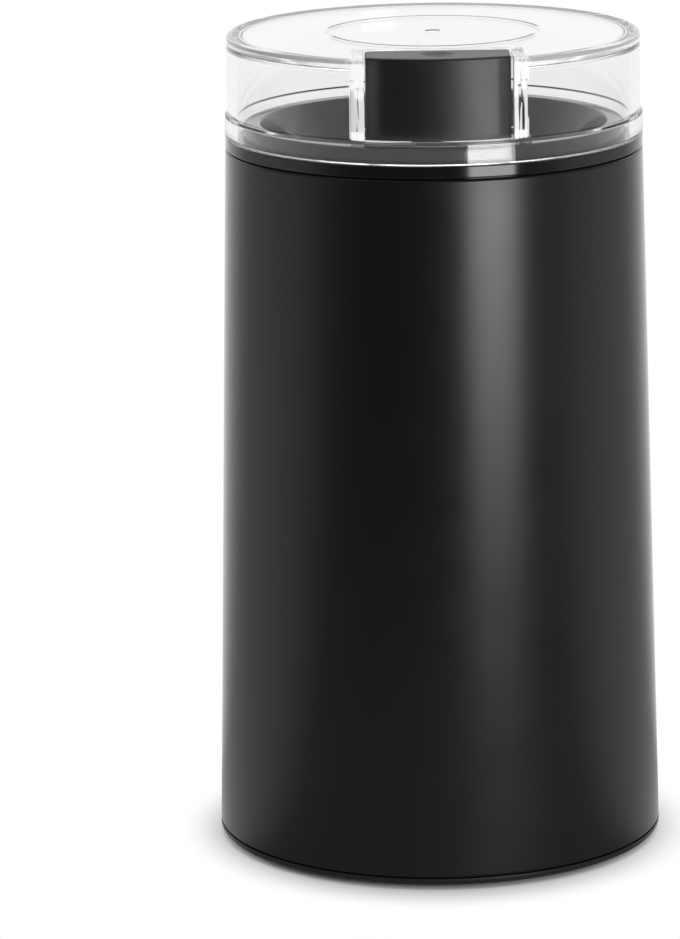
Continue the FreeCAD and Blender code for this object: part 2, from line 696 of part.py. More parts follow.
def build_top_ring():
    """Glossy shoulder, collar, funnel, button guide and the posts for the carrier."""
    body = new_body("top_ring")
    spigot_outer = outer_radius(housing_top) - d.housing_wall - d.fit_gap
    spigot_bottom = housing_top - d.spigot_depth
    deck_bottom = shoulder_bottom - d.seam
    funnel_inner = bowl_radius + d.touch_gap
    ring = revolve(body, "Ring", [
        (outer_radius(shoulder_bottom), shoulder_bottom),
        (outer_radius(shoulder_top), shoulder_top),
        (collar_radius, shoulder_top),
        (collar_radius, collar_top),
        (mouth_radius, collar_top),
        (funnel_inner, funnel_bottom),
        (funnel_inner + d.flange_width, funnel_bottom),
        (funnel_inner + d.flange_width, funnel_bottom + d.funnel_wall),
        (mouth_radius + d.funnel_wall / 2, deck_bottom),
        (spigot_outer - d.spigot_wall, deck_bottom),
        (spigot_outer - d.spigot_wall, spigot_bottom),
        (spigot_outer, spigot_bottom),
        (spigot_outer, deck_bottom),
        (outer_radius(shoulder_bottom) - d.seam_depth, deck_bottom),
        (outer_radius(shoulder_bottom) - d.seam_depth, shoulder_bottom),
    ])
    doc.recompute()
    names = circle_edges(ring.Shape, collar_top, collar_radius)
    names += circle_edges(ring.Shape, collar_top, mouth_radius)
    round_edges(body, "Lips", ring, names, d.lip_round)
    sketch = new_sketch(body, "GuideSketch", "XY_Plane", guide_floor_bottom)
    outer_front = collar_radius - d.guide_wall / 2
    draw_tower(sketch, guide_half + d.guide_wall, guide_back - d.guide_wall, outer_front)
    guide = pad(body, "Guide", sketch, collar_top - guide_floor_bottom)
    sketch = new_sketch(body, "GuideHollowSketch", "XY_Plane", guide_floor_top)
    draw_tower(sketch, guide_half, guide_back, button_front + d.fit_gap)
    hollow = pocket(body, "GuideHollow", sketch, d.guide_depth)

    sketch = new_sketch(body, "StemSlotSketch", "XY_Plane", spigot_bottom)
    slot_half = d.stem_width / 2 + d.fit_gap
    slot_depth = d.stem_depth / 2 + d.fit_gap
    draw_rectangle(
        sketch,
        d.stem_side - slot_half,
        -stem_radius - slot_depth,
        d.stem_side + slot_half,
        -stem_radius + slot_depth,
    )
    pocket(body, "StemSlot", sketch, guide_floor_top - spigot_bottom)

    sketch = new_sketch(body, "PinHoleSketch", "XY_Plane", spigot_bottom)
    draw_circle(sketch, d.pin_radius + d.fit_gap / 2, pin_x, pin_y)
    pocket(body, "PinHole", sketch, collar_top - spigot_bottom)

    sketch = new_sketch(body, "PostSketch", "XY_Plane", carrier_top)
    draw_circle(sketch, d.post_radius, 0, post_circle)
    post = pad(body, "Post", sketch, deck_bottom + d.seam - carrier_top)
    sketch = new_sketch(body, "PostHoleSketch", "XY_Plane", carrier_top)
    draw_circle(sketch, d.screw_radius, 0, post_circle)
    hole = pocket(body, "PostHole", sketch, d.base_boss_height)
    polar(body, "Posts", [post, hole], d.post_count)


def build_lid():
    """Clear lid: skirt band, wall, top plate and the pocket round the button."""
    body = new_body("lid")
    shell = revolve(body, "Shell", [
        (0, lid_top),
        (0, lid_top - d.lid_plate),
        (outer_radius(lid_top - d.lid_plate) - d.lid_wall, lid_top - d.lid_plate),
        (outer_radius(lid_bottom) - d.lid_wall, lid_bottom),
        (outer_radius(lid_bottom) + d.skirt_proud, lid_bottom),
        (outer_radius(notch_bottom) + d.skirt_proud, notch_bottom),
        (outer_radius(notch_bottom + d.skirt_proud), notch_bottom + d.skirt_proud),
        (outer_radius(lid_top), lid_top),
    ])
    doc.recompute()
    names = circle_edges(shell.Shape, lid_top, outer_radius(lid_top))
    rounded = round_edges(body, "TopEdge", shell, names, d.lid_edge)
    doc.recompute()
    inner_level = lid_top - d.lid_plate
    inner_radius = outer_radius(inner_level) - d.lid_wall
    names = circle_edges(rounded.Shape, inner_level, inner_radius)
    round_edges(body, "InnerEdge", rounded, names, d.lid_edge)

    sketch = new_sketch(body, "PocketSketch", "XY_Plane", notch_bottom)
    pocket_front = outer_radius(lid_top) - d.lid_wall / 2
    draw_tower(sketch, pocket_half + d.pocket_wall, pocket_back - d.pocket_wall, pocket_front)
    pad(body, "PocketWalls", sketch, lid_top - d.lid_plate / 2 - notch_bottom)
    sketch = new_sketch(body, "NotchSketch", "XY_Plane", notch_bottom)
    draw_rectangle(sketch, -pocket_half, -d.base_radius, pocket_half, -pocket_back)
    pocket(body, "Notch", sketch, d.lid_height)

    ring_half = d.ring_width / 2
    groove(body, "RoundLine", [
        (d.ring_radius - ring_half, lid_top),
        (d.ring_radius, lid_top - d.ring_depth),
        (d.ring_radius + ring_half, lid_top),
        (d.ring_radius, lid_top + d.ring_depth),
    ])
    feature = groove(body, "GateMark", [
        (0, lid_top - d.ring_depth),
        (d.gate_radius - d.ring_depth, lid_top - d.ring_depth),
        (d.gate_radius, lid_top + d.ring_depth),
        (0, lid_top + d.ring_depth),
    ])
    body.Tip = feature


def build_push_button():
    """Hollow block with a finger dimple and the stem that works the switch."""
    body = new_body("push_button")
    sketch = new_sketch(body, "BlockSketch", "XY_Plane", button_bottom)
    draw_tower(sketch, button_half, button_back, button_front)
    pad(body, "Block", sketch, button_top - button_bottom)
    reach = d.base_radius
    block = groove(body, "FrontCone", [
        (button_front, button_bottom),
        (reach, button_bottom),
        (reach, button_top),
        (button_front_top, button_top),
    ])
    doc.recompute()
    names = []
    for index, edge in enumerate(block.Shape.Edges, start=1):
        above = edge.BoundBox.ZMin > (button_bottom + d.button_edge).number
        upright = edge.BoundBox.ZLength > (button_top - button_bottom).number / 2
        forward = edge.CenterOfMass.y < -(button_back + d.button_depth / 2).number
        if above or (upright and forward):
            names.append("Edge%d" % index)
    round_edges(body, "SoftEdges", block, names, d.button_edge)

    sphere = body.newObject("PartDesign::SubtractiveSphere", "Dimple")
    square = d.dimple_radius * d.dimple_radius + d.dimple_depth * d.dimple_depth
    ball = square / (2 * d.dimple_depth)
    bind(sphere, "Radius", ball)
    middle_y = -(button_back + d.button_depth / 2)
    place(sphere, 0, middle_y, button_top - d.dimple_depth + ball)

    sketch = new_sketch(body, "HollowSketch", "XY_Plane", button_bottom)
    draw_tower(
        sketch,
        button_half - d.button_wall,
        button_back + d.button_wall,
        button_front_top - d.button_wall,
    )
    hollow_height = button_top - d.button_wall - d.dimple_depth - button_bottom
    pocket(body, "Hollow", sketch, hollow_height)

    sketch = new_sketch(body, "StemSketch", "XY_Plane", stem_bottom)
    half = d.stem_width / 2
    draw_rectangle(
        sketch,
        d.stem_side - half,
        -stem_radius - d.stem_depth / 2,
        d.stem_side + half,
        -stem_radius + d.stem_depth / 2,
    )
    body.Tip = pad(body, "Stem", sketch, button_bottom + d.button_wall - stem_bottom)


def build_steel_bowl():
    """Pressed bowl with a flange and a raised neck for the shaft."""
    body = new_body("steel_bowl")
    outer = bowl_radius + d.bowl_wall
    neck_inner = d.neck_radius - d.bowl_wall
    bowl = revolve(body, "Bowl", [
        (bowl_radius, flange_top),
        (outer + d.flange_width, flange_top),
        (outer + d.flange_width, flange_top - d.bowl_wall),
        (outer, flange_top - d.bowl_wall),
        (outer, bowl_bottom),
        (neck_inner, bowl_bottom),
        (neck_inner, bowl_floor + d.neck_height),
        (d.neck_radius, bowl_floor + d.neck_height),
        (d.neck_radius, bowl_floor),
        (bowl_radius, bowl_floor),
    ])
    doc.recompute()
    names = circle_edges(bowl.Shape, bowl_floor, bowl_radius)
    inner = round_edges(body, "InnerCorner", bowl, names, d.bowl_corner)
    doc.recompute()
    names = circle_edges(inner.Shape, bowl_bottom, outer)
    round_edges(body, "OuterCorner", inner, names, d.bowl_corner + d.bowl_wall)


def ring_piece(name, inner, outer, low, high):
    """Plain ring as a body."""
    body = new_body(name)
    revolve(body, "Ring", [(inner, low), (outer, low), (outer, high), (inner, high)])
    return body


def build_bowl_gasket():
    inner = bowl_radius + d.touch_gap
    ring_piece("bowl_gasket", inner, inner + d.flange_width, flange_top, funnel_bottom)


def build_shaft_seal():
    """Lip seal held in the bowl's neck, standing on the carrier's boss."""
    body = new_body("shaft_seal")
    inner = d.shaft_radius + d.running_gap
    outer = d.neck_radius - d.bowl_wall
    low = bowl_bottom
    high = low + d.seal_height
    revolve(body, "Seal", [
        (inner, low),
        (outer, low),
        (outer, high - d.bowl_wall),
        (inner + d.bowl_wall, high),
        (inner, high),
    ])


def build_rotor():
    """Everything that spins: shaft, armature, commutator, fan, blade, collar and nut."""
    blade_bottom = bowl_floor + d.blade_lift
    blade_top = blade_bottom + d.blade_thick
    nut_top = blade_top + d.nut_height
    shaft_end = nut_top + d.thread_radius / 2
    collar_bottom = bowl_bottom + d.seal_height + d.touch_gap

    shaft = new_body("motor_shaft")
    revolve(shaft, "Shaft", [
        (0, fan_bottom),
        (d.shaft_radius, fan_bottom),
        (d.shaft_radius, collar_bottom),
        (d.thread_radius, collar_bottom),
        (d.thread_radius, shaft_end - d.thread_radius / 2),
        (d.thread_radius / 2, shaft_end),
        (0, shaft_end),
    ])

    ring_piece("blade_collar", d.thread_radius, d.bush_radius, collar_bottom, blade_bottom)
    cut(
        "blade_nut",
        hexagon("NutBlock", d.nut_flats, blade_top, nut_top),
        cylinder("NutBore", d.thread_radius, blade_top, nut_top),
    )
    build_blade(blade_bottom)
    build_armature()
    build_fan()


def build_blade(low):
    """Two arms bent out of one strip, one up and one down, with tapered tips."""
    body = new_body("BladeStrip")
    sketch = new_sketch(body, "BladeProfile", "XZ_Plane", -d.blade_width)
    knee = d.blade_bend + d.blade_slope
    top = low + d.blade_thick
    draw_outline(sketch, [
        (-blade_radius, low - d.blade_fall),
        (-knee, low - d.blade_fall),
        (-d.blade_bend, low),
        (d.blade_bend, low),
        (knee, low + d.blade_rise),
        (blade_radius, low + d.blade_rise),
        (blade_radius, top + d.blade_rise),
        (knee, top + d.blade_rise),
        (d.blade_bend, top),
        (-d.blade_bend, top),
        (-knee, top - d.blade_fall),
        (-blade_radius, top - d.blade_fall),
    ])
    strip = body.newObject("PartDesign::Pad", "Strip")
    strip.Profile = sketch
    bind(strip, "Length", d.blade_width * 2)
    plan = new_body("BladePlan")
    sketch = new_sketch(plan, "BladePlanSketch", "XY_Plane", low - blade_radius)
    half = d.blade_width / 2
    tip = d.blade_tip_width / 2
    draw_outline(sketch, [
        (-d.blade_bend, -half),
        (d.blade_bend, -half),
        (blade_radius - tip, -tip),
        (blade_radius, tip / 2),
        (d.blade_bend, half),
        (-d.blade_bend, half),
        (-blade_radius + tip, tip),
        (-blade_radius, -tip / 2),
    ])
    pad(plan, "Plan", sketch, blade_radius * 2)
    whole = common("BladeOutline", [body, plan])
    bore = cylinder(
        "BladeBore", d.thread_radius, low - d.blade_thick, low + d.blade_thick * 2
    )
    cut("blade", whole, bore)


def build_armature():
    """Slotted core, winding with its end domes, and the commutator."""
    core_radius = d.bore_radius - d.air_gap
    body = new_body("armature_core")
    revolve(body, "Core", [
        (d.shaft_radius, stack_bottom),
        (core_radius, stack_bottom),
        (core_radius, stack_top),
        (d.shaft_radius, stack_top),
    ])
    sketch = new_sketch(body, "SlotSketch", "XY_Plane", stack_bottom)
    half = d.slot_width / 2
    draw_rectangle(sketch, core_radius - d.slot_depth, -half, d.bore_radius, half)
    slot = pocket(body, "Slot", sketch, stack_height)
    polar(body, "Slots", [slot], d.slot_count)

    body = new_body("armature_winding")
    inner = d.shaft_radius + d.holder_wall
    outer = core_radius - d.holder_wall
    gap = d.touch_gap
    for name, face, way in (("UpperEnd", stack_top, 1), ("LowerEnd", stack_bottom, -1)):
        revolve(body, name, [
            (inner, face + way * gap),
            (outer, face + way * gap),
            (outer, face + way * d.winding_overhang / 2),
            (outer - d.winding_overhang / 2, face + way * d.winding_overhang),
            (inner + d.holder_wall, face + way * d.winding_overhang),
            (inner, face + way * d.winding_overhang / 2),
        ])
    sketch = new_sketch(body, "BarSketch", "XY_Plane", stack_bottom - gap * 2)
    half = half - gap
    draw_rectangle(sketch, core_radius - d.slot_depth + gap, -half, outer, half)
    bar = pad(body, "Bar", sketch, stack_height + gap * 4)
    polar(body, "Bars", [bar], d.slot_count)

    body = ring_piece(
        "commutator", d.shaft_radius, d.commutator_radius, commutator_bottom, commutator_top
    )
    sketch = new_sketch(body, "GrooveSketch", "XY_Plane", commutator_bottom)
    half = d.segment_gap / 2
    inner = d.commutator_radius - d.holder_wall
    draw_rectangle(sketch, inner, -half, d.commutator_radius + d.holder_wall, half)
    slit = pocket(body, "Slit", sketch, d.commutator_height)
    polar(body, "Slits", [slit], d.segment_count)


def build_fan():
    """Hub, disc and radial blades."""
    body = new_body("cooling_fan")
    hub = d.shaft_radius * 2
    revolve(body, "Hub", [
        (d.shaft_radius, fan_bottom),
        (hub, fan_bottom),
        (hub, fan_top - d.fan_web),
        (fan_radius, fan_top - d.fan_web),
        (fan_radius, fan_top),
        (d.shaft_radius, fan_top),
    ])
    sketch = new_sketch(body, "VaneSketch", "XY_Plane", fan_bottom)
    half = d.fan_web / 2
    draw_rectangle(sketch, hub + d.fan_web, -half, fan_radius, half)
    vane = pad(body, "Vane", sketch, d.fan_height - d.fan_web / 2)
    polar(body, "Vanes", [vane], d.fan_blades)


def build_motor_carrier():
    """Plate under the bowl: upper bush seat, ears on the posts and legs to the stator."""
    boss_radius = d.bush_radius + d.boss_wall
    body = new_body("motor_carrier")
    boss_bottom = carrier_bottom - d.boss_wall
    revolve(body, "Plate", [
        (d.bush_radius, boss_bottom),
        (boss_radius, boss_bottom),
        (boss_radius, carrier_bottom),
        (carrier_radius, carrier_bottom),
        (carrier_radius, carrier_top),
        (boss_radius, carrier_top),
        (boss_radius, bowl_bottom),
        (d.bush_radius, bowl_bottom),
    ])
    ear_outer = outer_radius(carrier_top) - d.housing_wall - d.fit_gap
    half = d.ear_width / 2
    sketch = new_sketch(body, "EarSketch", "XY_Plane", carrier_bottom)
    inner = carrier_radius - d.boss_wall
    draw_rectangle(sketch, -half, inner, half, ear_outer - d.boss_wall / 2)
    ear = pad(body, "Ear", sketch, d.carrier_thick)
    sketch = new_sketch(body, "EarHoleSketch", "XY_Plane", carrier_bottom)
    draw_circle(sketch, d.screw_radius + d.fit_gap / 2, 0, post_circle)
    hole = pocket(body, "EarHole", sketch, d.carrier_thick)
    polar(body, "Ears", [ear, hole], d.post_count)

    leg_circle = d.stator_width / 2 - d.stator_frame / 2
    for name, side in (("BackLeg", 1), ("FrontLeg", -1)):
        sketch = new_sketch(body, name + "Sketch", "XY_Plane", stack_top)
        draw_circle(sketch, d.stator_frame / 2, 0, side * leg_circle)
        pad(body, name, sketch, carrier_bottom - stack_top)
        sketch = new_sketch(body, name + "HoleSketch", "XY_Plane", stack_top)
        draw_circle(sketch, d.motor_screw_radius, 0, side * leg_circle)
        body.Tip = pocket(body, name + "Hole", sketch, d.upper_bush_height)
    sketch = new_sketch(body, "PedestalSketch", "XY_Plane", carrier_bottom)
    length_half = d.switch_length / 2
    front = switch_radius + d.switch_depth / 2
    draw_rectangle(sketch, -length_half, -front, length_half, -carrier_radius + d.boss_wall)
    body.Tip = pad(body, "SwitchShelf", sketch, d.carrier_thick)


def build_stator():
    """Laminated frame with two poles, and its two coils."""
    half_x = d.stator_length / 2
    half_y = d.stator_width / 2
    window_x = half_x - d.stator_frame
    window_y = half_y - d.stator_frame
    leg_circle = half_y - d.stator_frame / 2
    body = new_body("StatorFrame")
    sketch = new_sketch(body, "FrameSketch", "XY_Plane", stack_bottom)
    draw_rectangle(sketch, -half_x, -half_y, half_x, half_y)
    block = pad(body, "FrameBlock", sketch, stack_height)
    doc.recompute()
    names = [
        "Edge%d" % index
        for index, edge in enumerate(block.Shape.Edges, start=1)
        if edge.BoundBox.ZLength > stack_height.number / 2
    ]
    round_edges(body, "Corners", block, names, d.stator_corner)
    sketch = new_sketch(body, "WindowSketch", "XY_Plane", stack_bottom)
    draw_rectangle(sketch, -window_x, -window_y, window_x, window_y)
    body.Tip = pocket(body, "Window", sketch, stack_height)

    neck = d.pole_width / 2
    shoe_outer = d.bore_radius + d.shoe_thick
    low, high = stack_bottom, stack_top
    necks = box("PoleNecks", (-window_x, -neck, low), (window_x, neck, high))
    shoes = cylinder("PoleShoes", shoe_outer, low, high)
    sides = box("ShoeSides", (-shoe_outer, -d.shoe_half, low), (shoe_outer, d.shoe_half, high))
    poles = fuse("Poles", [necks, common("ShoeBars", [shoes, sides])])
    bored = cut("PolesBored", poles, cylinder("StatorBore", d.bore_radius, low, high))
    slot = box("ShoeSplit", (-neck, -shoe_outer, low), (neck, shoe_outer, high))
    split = cut("PolesSplit", bored, slot)
    iron = fuse("StatorIron", [body, split])
    holes = fuse("StatorHoles", [
        cylinder("BackHole", d.motor_screw_radius + d.touch_gap, low, high, 0, leg_circle),
        cylinder("FrontHole", d.motor_screw_radius + d.touch_gap, low, high, 0, -leg_circle),
    ])
    cut("stator_core", iron, holes)

    coils = []
    inner_x = shoe_outer + d.coil_gap
    outer_x = window_x - d.coil_gap
    for name, side in (("RightCoil", 1), ("LeftCoil", -1)):
        low_x, high_x = (inner_x, outer_x) if side > 0 else (-outer_x, -inner_x)
        reach = window_y - d.coil_gap
        over = d.coil_overhang
        gap = d.coil_gap
        outer = box(name + "Outer", (low_x, -reach, low - over), (high_x, reach, high + over))
        inner = box(
            name + "Inner",
            (low_x, -neck - gap, low - gap),
            (high_x, neck + gap, high + gap),
        )
        coils.append(cut(name, outer, inner))
    group("field_coils", coils)


def build_lower_bracket():
    """Bridge under the stator with the lower bush and the brush shelves."""
    boss_radius = d.bush_radius + d.boss_wall
    leg_circle = d.stator_width / 2 - d.stator_frame / 2
    body = new_body("BracketPlate")
    bush_low = bracket_bottom - d.boss_wall
    bush_high = bush_low + d.lower_bush_height
    revolve(body, "Plate", [
        (d.bush_radius, bush_low),
        (boss_radius, bush_low),
        (boss_radius, bracket_bottom),
        (bracket_radius, bracket_bottom),
        (bracket_radius, bracket_top),
        (boss_radius, bracket_top),
        (boss_radius, bush_high),
        (d.bush_radius, bush_high),
    ])
    width = leg_circle + d.leg_radius
    trim = box(
        "BracketTrim",
        (-bracket_radius, -width, bush_low),
        (bracket_radius, width, stack_bottom),
    )
    plate = common("BracketOutline", [body, trim])
    holder_low = brush_level() - d.brush_size / 2 - d.holder_wall
    parts = [plate]
    for name, side in (("BackLeg", 1), ("FrontLeg", -1)):
        parts.append(cylinder(
            "Bracket" + name, d.leg_radius, bracket_bottom, stack_bottom, 0, side * leg_circle
        ))
    for name, side in (("RightShelf", 1), ("LeftShelf", -1)):
        near, far = holder_span()
        low_x, high_x = (near, far) if side > 0 else (-far, -near)
        half = d.brush_size / 2 + d.holder_wall * 2
        parts.append(box(
            "Bracket" + name,
            (low_x, -half, bracket_top - d.touch_gap),
            (high_x, half, holder_low),
        ))
    solid = fuse("BracketSolid", parts)
    holes = fuse("BracketHoles", [
        cylinder(
            "BracketBackHole", d.motor_screw_radius + d.touch_gap,
            bracket_bottom, stack_bottom, 0, leg_circle,
        ),
        cylinder(
            "BracketFrontHole", d.motor_screw_radius + d.touch_gap,
            bracket_bottom, stack_bottom, 0, -leg_circle,
        ),
    ])
    cut("lower_bracket", solid, holes)


def brush_level():
    """Height of the brushes: the middle of the commutator."""
    return commutator_bottom + d.commutator_height / 2


def holder_span():
    """Nearest and furthest X of a brush holder."""
    near = d.commutator_radius + d.boss_wall
    return near, near + d.holder_length


def build_brushes():
    """Holders, carbons and springs, one of each on both sides of the commutator."""
    level = brush_level()
    near, far = holder_span()
    half = d.brush_size / 2
    wall = d.holder_wall
    gap = d.touch_gap
    holders, brushes, springs = [], [], []
    for name, side in (("Right", 1), ("Left", -1)):
        def span(start, end):
            return (start, end) if side > 0 else (-end, -start)

        low_x, high_x = span(near, far)
        outer = box(
            name + "HolderOuter",
            (low_x, -half - wall - gap, level - half - wall),
            (high_x, half + wall + gap, level + half + wall),
        )
        low_x, high_x = span(near - wall, far - wall)
        inner = box(
            name + "HolderInner",
            (low_x, -half - gap, level - half - gap),
            (high_x, half + gap, level + half + gap),
        )
        holders.append(cut(name + "Holder", outer, inner))
        touch = d.commutator_radius + d.running_gap
        low_x, high_x = span(touch, touch + d.brush_length)
        brushes.append(box(
            name + "Brush", (low_x, -half, level - half), (high_x, half, level + half)
        ))
        start = touch + d.brush_length + gap
        springs.append(coil_along_x(
            name + "BrushSpring",
            side * start.number,
            side * (far - wall - gap).number,
            level.number,
            (half - d.fine_wire).number,
        ))
    group("brush_holders", holders)
    group("carbon_brushes", brushes)
    group("brush_springs", springs)


def coil_solid(pitch, height, radius, wire):
    """Round wire along a helix that stands on the XY plane."""
    helix = Part.makeHelix(pitch, height, radius)
    turns = [math.radians(HALF_TURN / WIRE_ARCS) * step for step in range(2 * WIRE_ARCS + 1)]
    spots = [
        FreeCAD.Vector(radius + wire / 2 * math.cos(turn), 0, wire / 2 * math.sin(turn))
        for turn in turns
    ]
    arcs = [
        Part.Arc(*spots[2 * index:2 * index + 3]).toShape() for index in range(WIRE_ARCS)
    ]
    return Part.Wire(helix.Edges).makePipeShell([Part.Wire(arcs)], True, True)


def coil_along_x(name, start, end, level, radius):
    """Compression spring lying along X."""
    wire = d.fine_wire.number
    reach = abs(end - start) - wire
    shape = coil_solid(reach / d.fine_turns.number, reach, radius, wire)
    item = doc.addObject("Part::Feature", name)
    item.Shape = shape
    way = 1 if end > start else -1
    item.Placement = FreeCAD.Placement(
        FreeCAD.Vector(start + way * wire / 2, 0, level),
        FreeCAD.Rotation(FreeCAD.Vector(0, 1, 0), 90 * way),
    )
    return item


def build_button_spring():
    """Return spring between the guide's floor and the ceiling of the hollow button."""
    wire = d.spring_wire.number
    low = guide_floor_top.number + wire / 2
    ceiling = (button_top - d.button_wall - d.dimple_depth).number
    height = ceiling - wire / 2 - low - d.touch_gap.number
    item = doc.addObject("Part::Feature", "button_spring")
    pitch = height / d.spring_turns.number
    item.Shape = coil_solid(pitch, height, d.spring_radius.number, wire)
    middle = (button_back + d.button_depth / 2).number
    item.Placement.Base = FreeCAD.Vector(-d.stem_side.number / 2, -middle, low)


def build_interlock_spring():
    """Small spring under the interlock pin's flange."""
    wire = d.fine_wire.number
    low = switch_top.number + wire / 2
    high = interlock_levels()["flange_bottom"].number - wire / 2
    radius = d.pin_radius.number + wire
    item = doc.addObject("Part::Feature", "interlock_spring")
    item.Shape = coil_solid((high - low) / d.fine_turns.number, high - low, radius, wire)
    item.Placement.Base = FreeCAD.Vector(pin_x.number, pin_y.number, low)


def interlock_levels():
    """Heights of the interlock's pieces, from the lid's pocket down."""
    pin_top = notch_bottom - d.touch_gap
    flange_top_level = housing_top - d.spigot_depth - d.pin_rise - d.fit_gap
    flange_bottom = flange_top_level - d.gasket_thick
    return {
        "pin_top": pin_top,
        "flange_top": flange_top_level,
        "flange_bottom": flange_bottom,
        "pin_bottom": switch_top + d.touch_gap,
    }


def build_interlock_pin():
    """Pin that the lid's pocket holds down."""
    levels = interlock_levels()
    fuse("interlock_pin", [
        cylinder(
            "PinShaft", d.pin_radius, levels["pin_bottom"], levels["pin_top"], pin_x, pin_y
        ),
        cylinder(
            "PinFlange", d.pin_flange, levels["flange_bottom"], levels["flange_top"],
            pin_x, pin_y,
        ),
    ])


def switch_box(name, length, low, high, angle):
    """Switch-sized block in front of the bowl, turned round the axis."""
    item = doc.addObject("Part::Box", name)
    bind(item, "Length", length)
    bind(item, "Width", d.switch_depth)
    bind(item, "Height", size_of(high) - low)
    y = -switch_radius - d.switch_depth / 2
    x = -length / 2
    turn = size_of(angle)
    item.Placement.Rotation = FreeCAD.Rotation(FreeCAD.Vector(0, 0, 1), float(turn))
    bind(item, "Placement.Rotation.Angle", turn)
    place(
        item,
        x * cosine(turn) - y * sine(turn),
        x * sine(turn) + y * cosine(turn),
        low,
    )
    return item


def build_switches():
    """Power switch with its plunger and lever, interlock switch, and both brackets."""
    power = switch_box("PowerBlock", d.switch_length, switch_bottom, switch_top, 0)
    plunger_hole = cylinder(
        "PlungerHole", d.plunger_radius + d.running_gap,
        switch_top - d.plunger_reach * 2, switch_top, -d.plunger_side, -switch_radius,
    )
    hinge_level = lever_bottom + d.lever_thick / 2
    ear_half = d.lever_width / 2 + d.running_gap
    ears = []
    for name, near in (("Front", -1), ("Rear", 1)):
        inner = -switch_radius + near * ear_half
        outer = -switch_radius + near * (d.switch_depth / 2)
        low_y, high_y = (outer, inner) if near < 0 else (inner, outer)
        ears.append(box(
            name + "HingeEar",
            (-d.hinge_side - d.hinge_radius * 2, low_y, switch_top),
            (-d.hinge_side + d.hinge_radius * 2, high_y, hinge_level + d.hinge_radius * 2),
        ))
    pin = lying_cylinder(
        "HingePin", d.hinge_radius,
        -switch_radius - d.switch_depth / 2, -switch_radius + d.switch_depth / 2,
        -d.hinge_side, hinge_level,
    )
    body = cut("PowerHollow", power, plunger_hole)
    fuse("power_switch", [body, pin] + ears)

    cylinder(
        "switch_plunger", d.plunger_radius,
        plunger_top - d.plunger_length, plunger_top,
        -d.plunger_side, -switch_radius,
    )

    half = d.lever_width / 2
    leaf = box(
        "LeverLeaf",
        (-d.hinge_side, -switch_radius - half, lever_bottom),
        (d.stem_side + d.stem_width / 2, -switch_radius + half, lever_top),
    )
    eye = lying_cylinder(
        "LeverEye", d.hinge_radius * 2,
        -switch_radius - half, -switch_radius + half, -d.hinge_side, hinge_level,
    )
    bore = lying_cylinder(
        "LeverBore", d.hinge_radius + d.running_gap,
        -switch_radius - half, -switch_radius + half, -d.hinge_side, hinge_level,
    )
    cut("switch_lever", fuse("LeverSolid", [leaf, eye]), bore)

    switch_box("switch_bracket", d.switch_length, carrier_top, switch_bottom, 0)
    low = switch_top - d.interlock_height
    switch_box("interlock_switch", d.interlock_length, low, switch_top, d.interlock_turn)
    switch_box("interlock_bracket", d.interlock_length, carrier_top, low, d.interlock_turn)


def build_bushes():
    """Bronze bushes and the thrust washers beside them."""
    inner = d.shaft_radius + d.running_gap
    upper_low = bowl_bottom - d.upper_bush_height
    lower_low = bracket_bottom - d.boss_wall
    ring_piece("upper_bush", inner, d.bush_radius, upper_low, bowl_bottom)
    ring_piece(
        "lower_bush", inner, d.bush_radius, lower_low, lower_low + d.lower_bush_height
    )
    washers = []
    for name, low in (
        ("UpperWasher", upper_low - d.fan_web - d.touch_gap),
        ("LowerWasher", lower_low + d.lower_bush_height + d.touch_gap),
    ):
        outer = cylinder(name + "Outer", d.bush_radius - d.fit_gap, low, low + d.fan_web)
        bore = cylinder(name + "Bore", d.shaft_radius, low, low + d.fan_web)
        washers.append(cut(name, outer, bore))
    group("thrust_washers", washers)


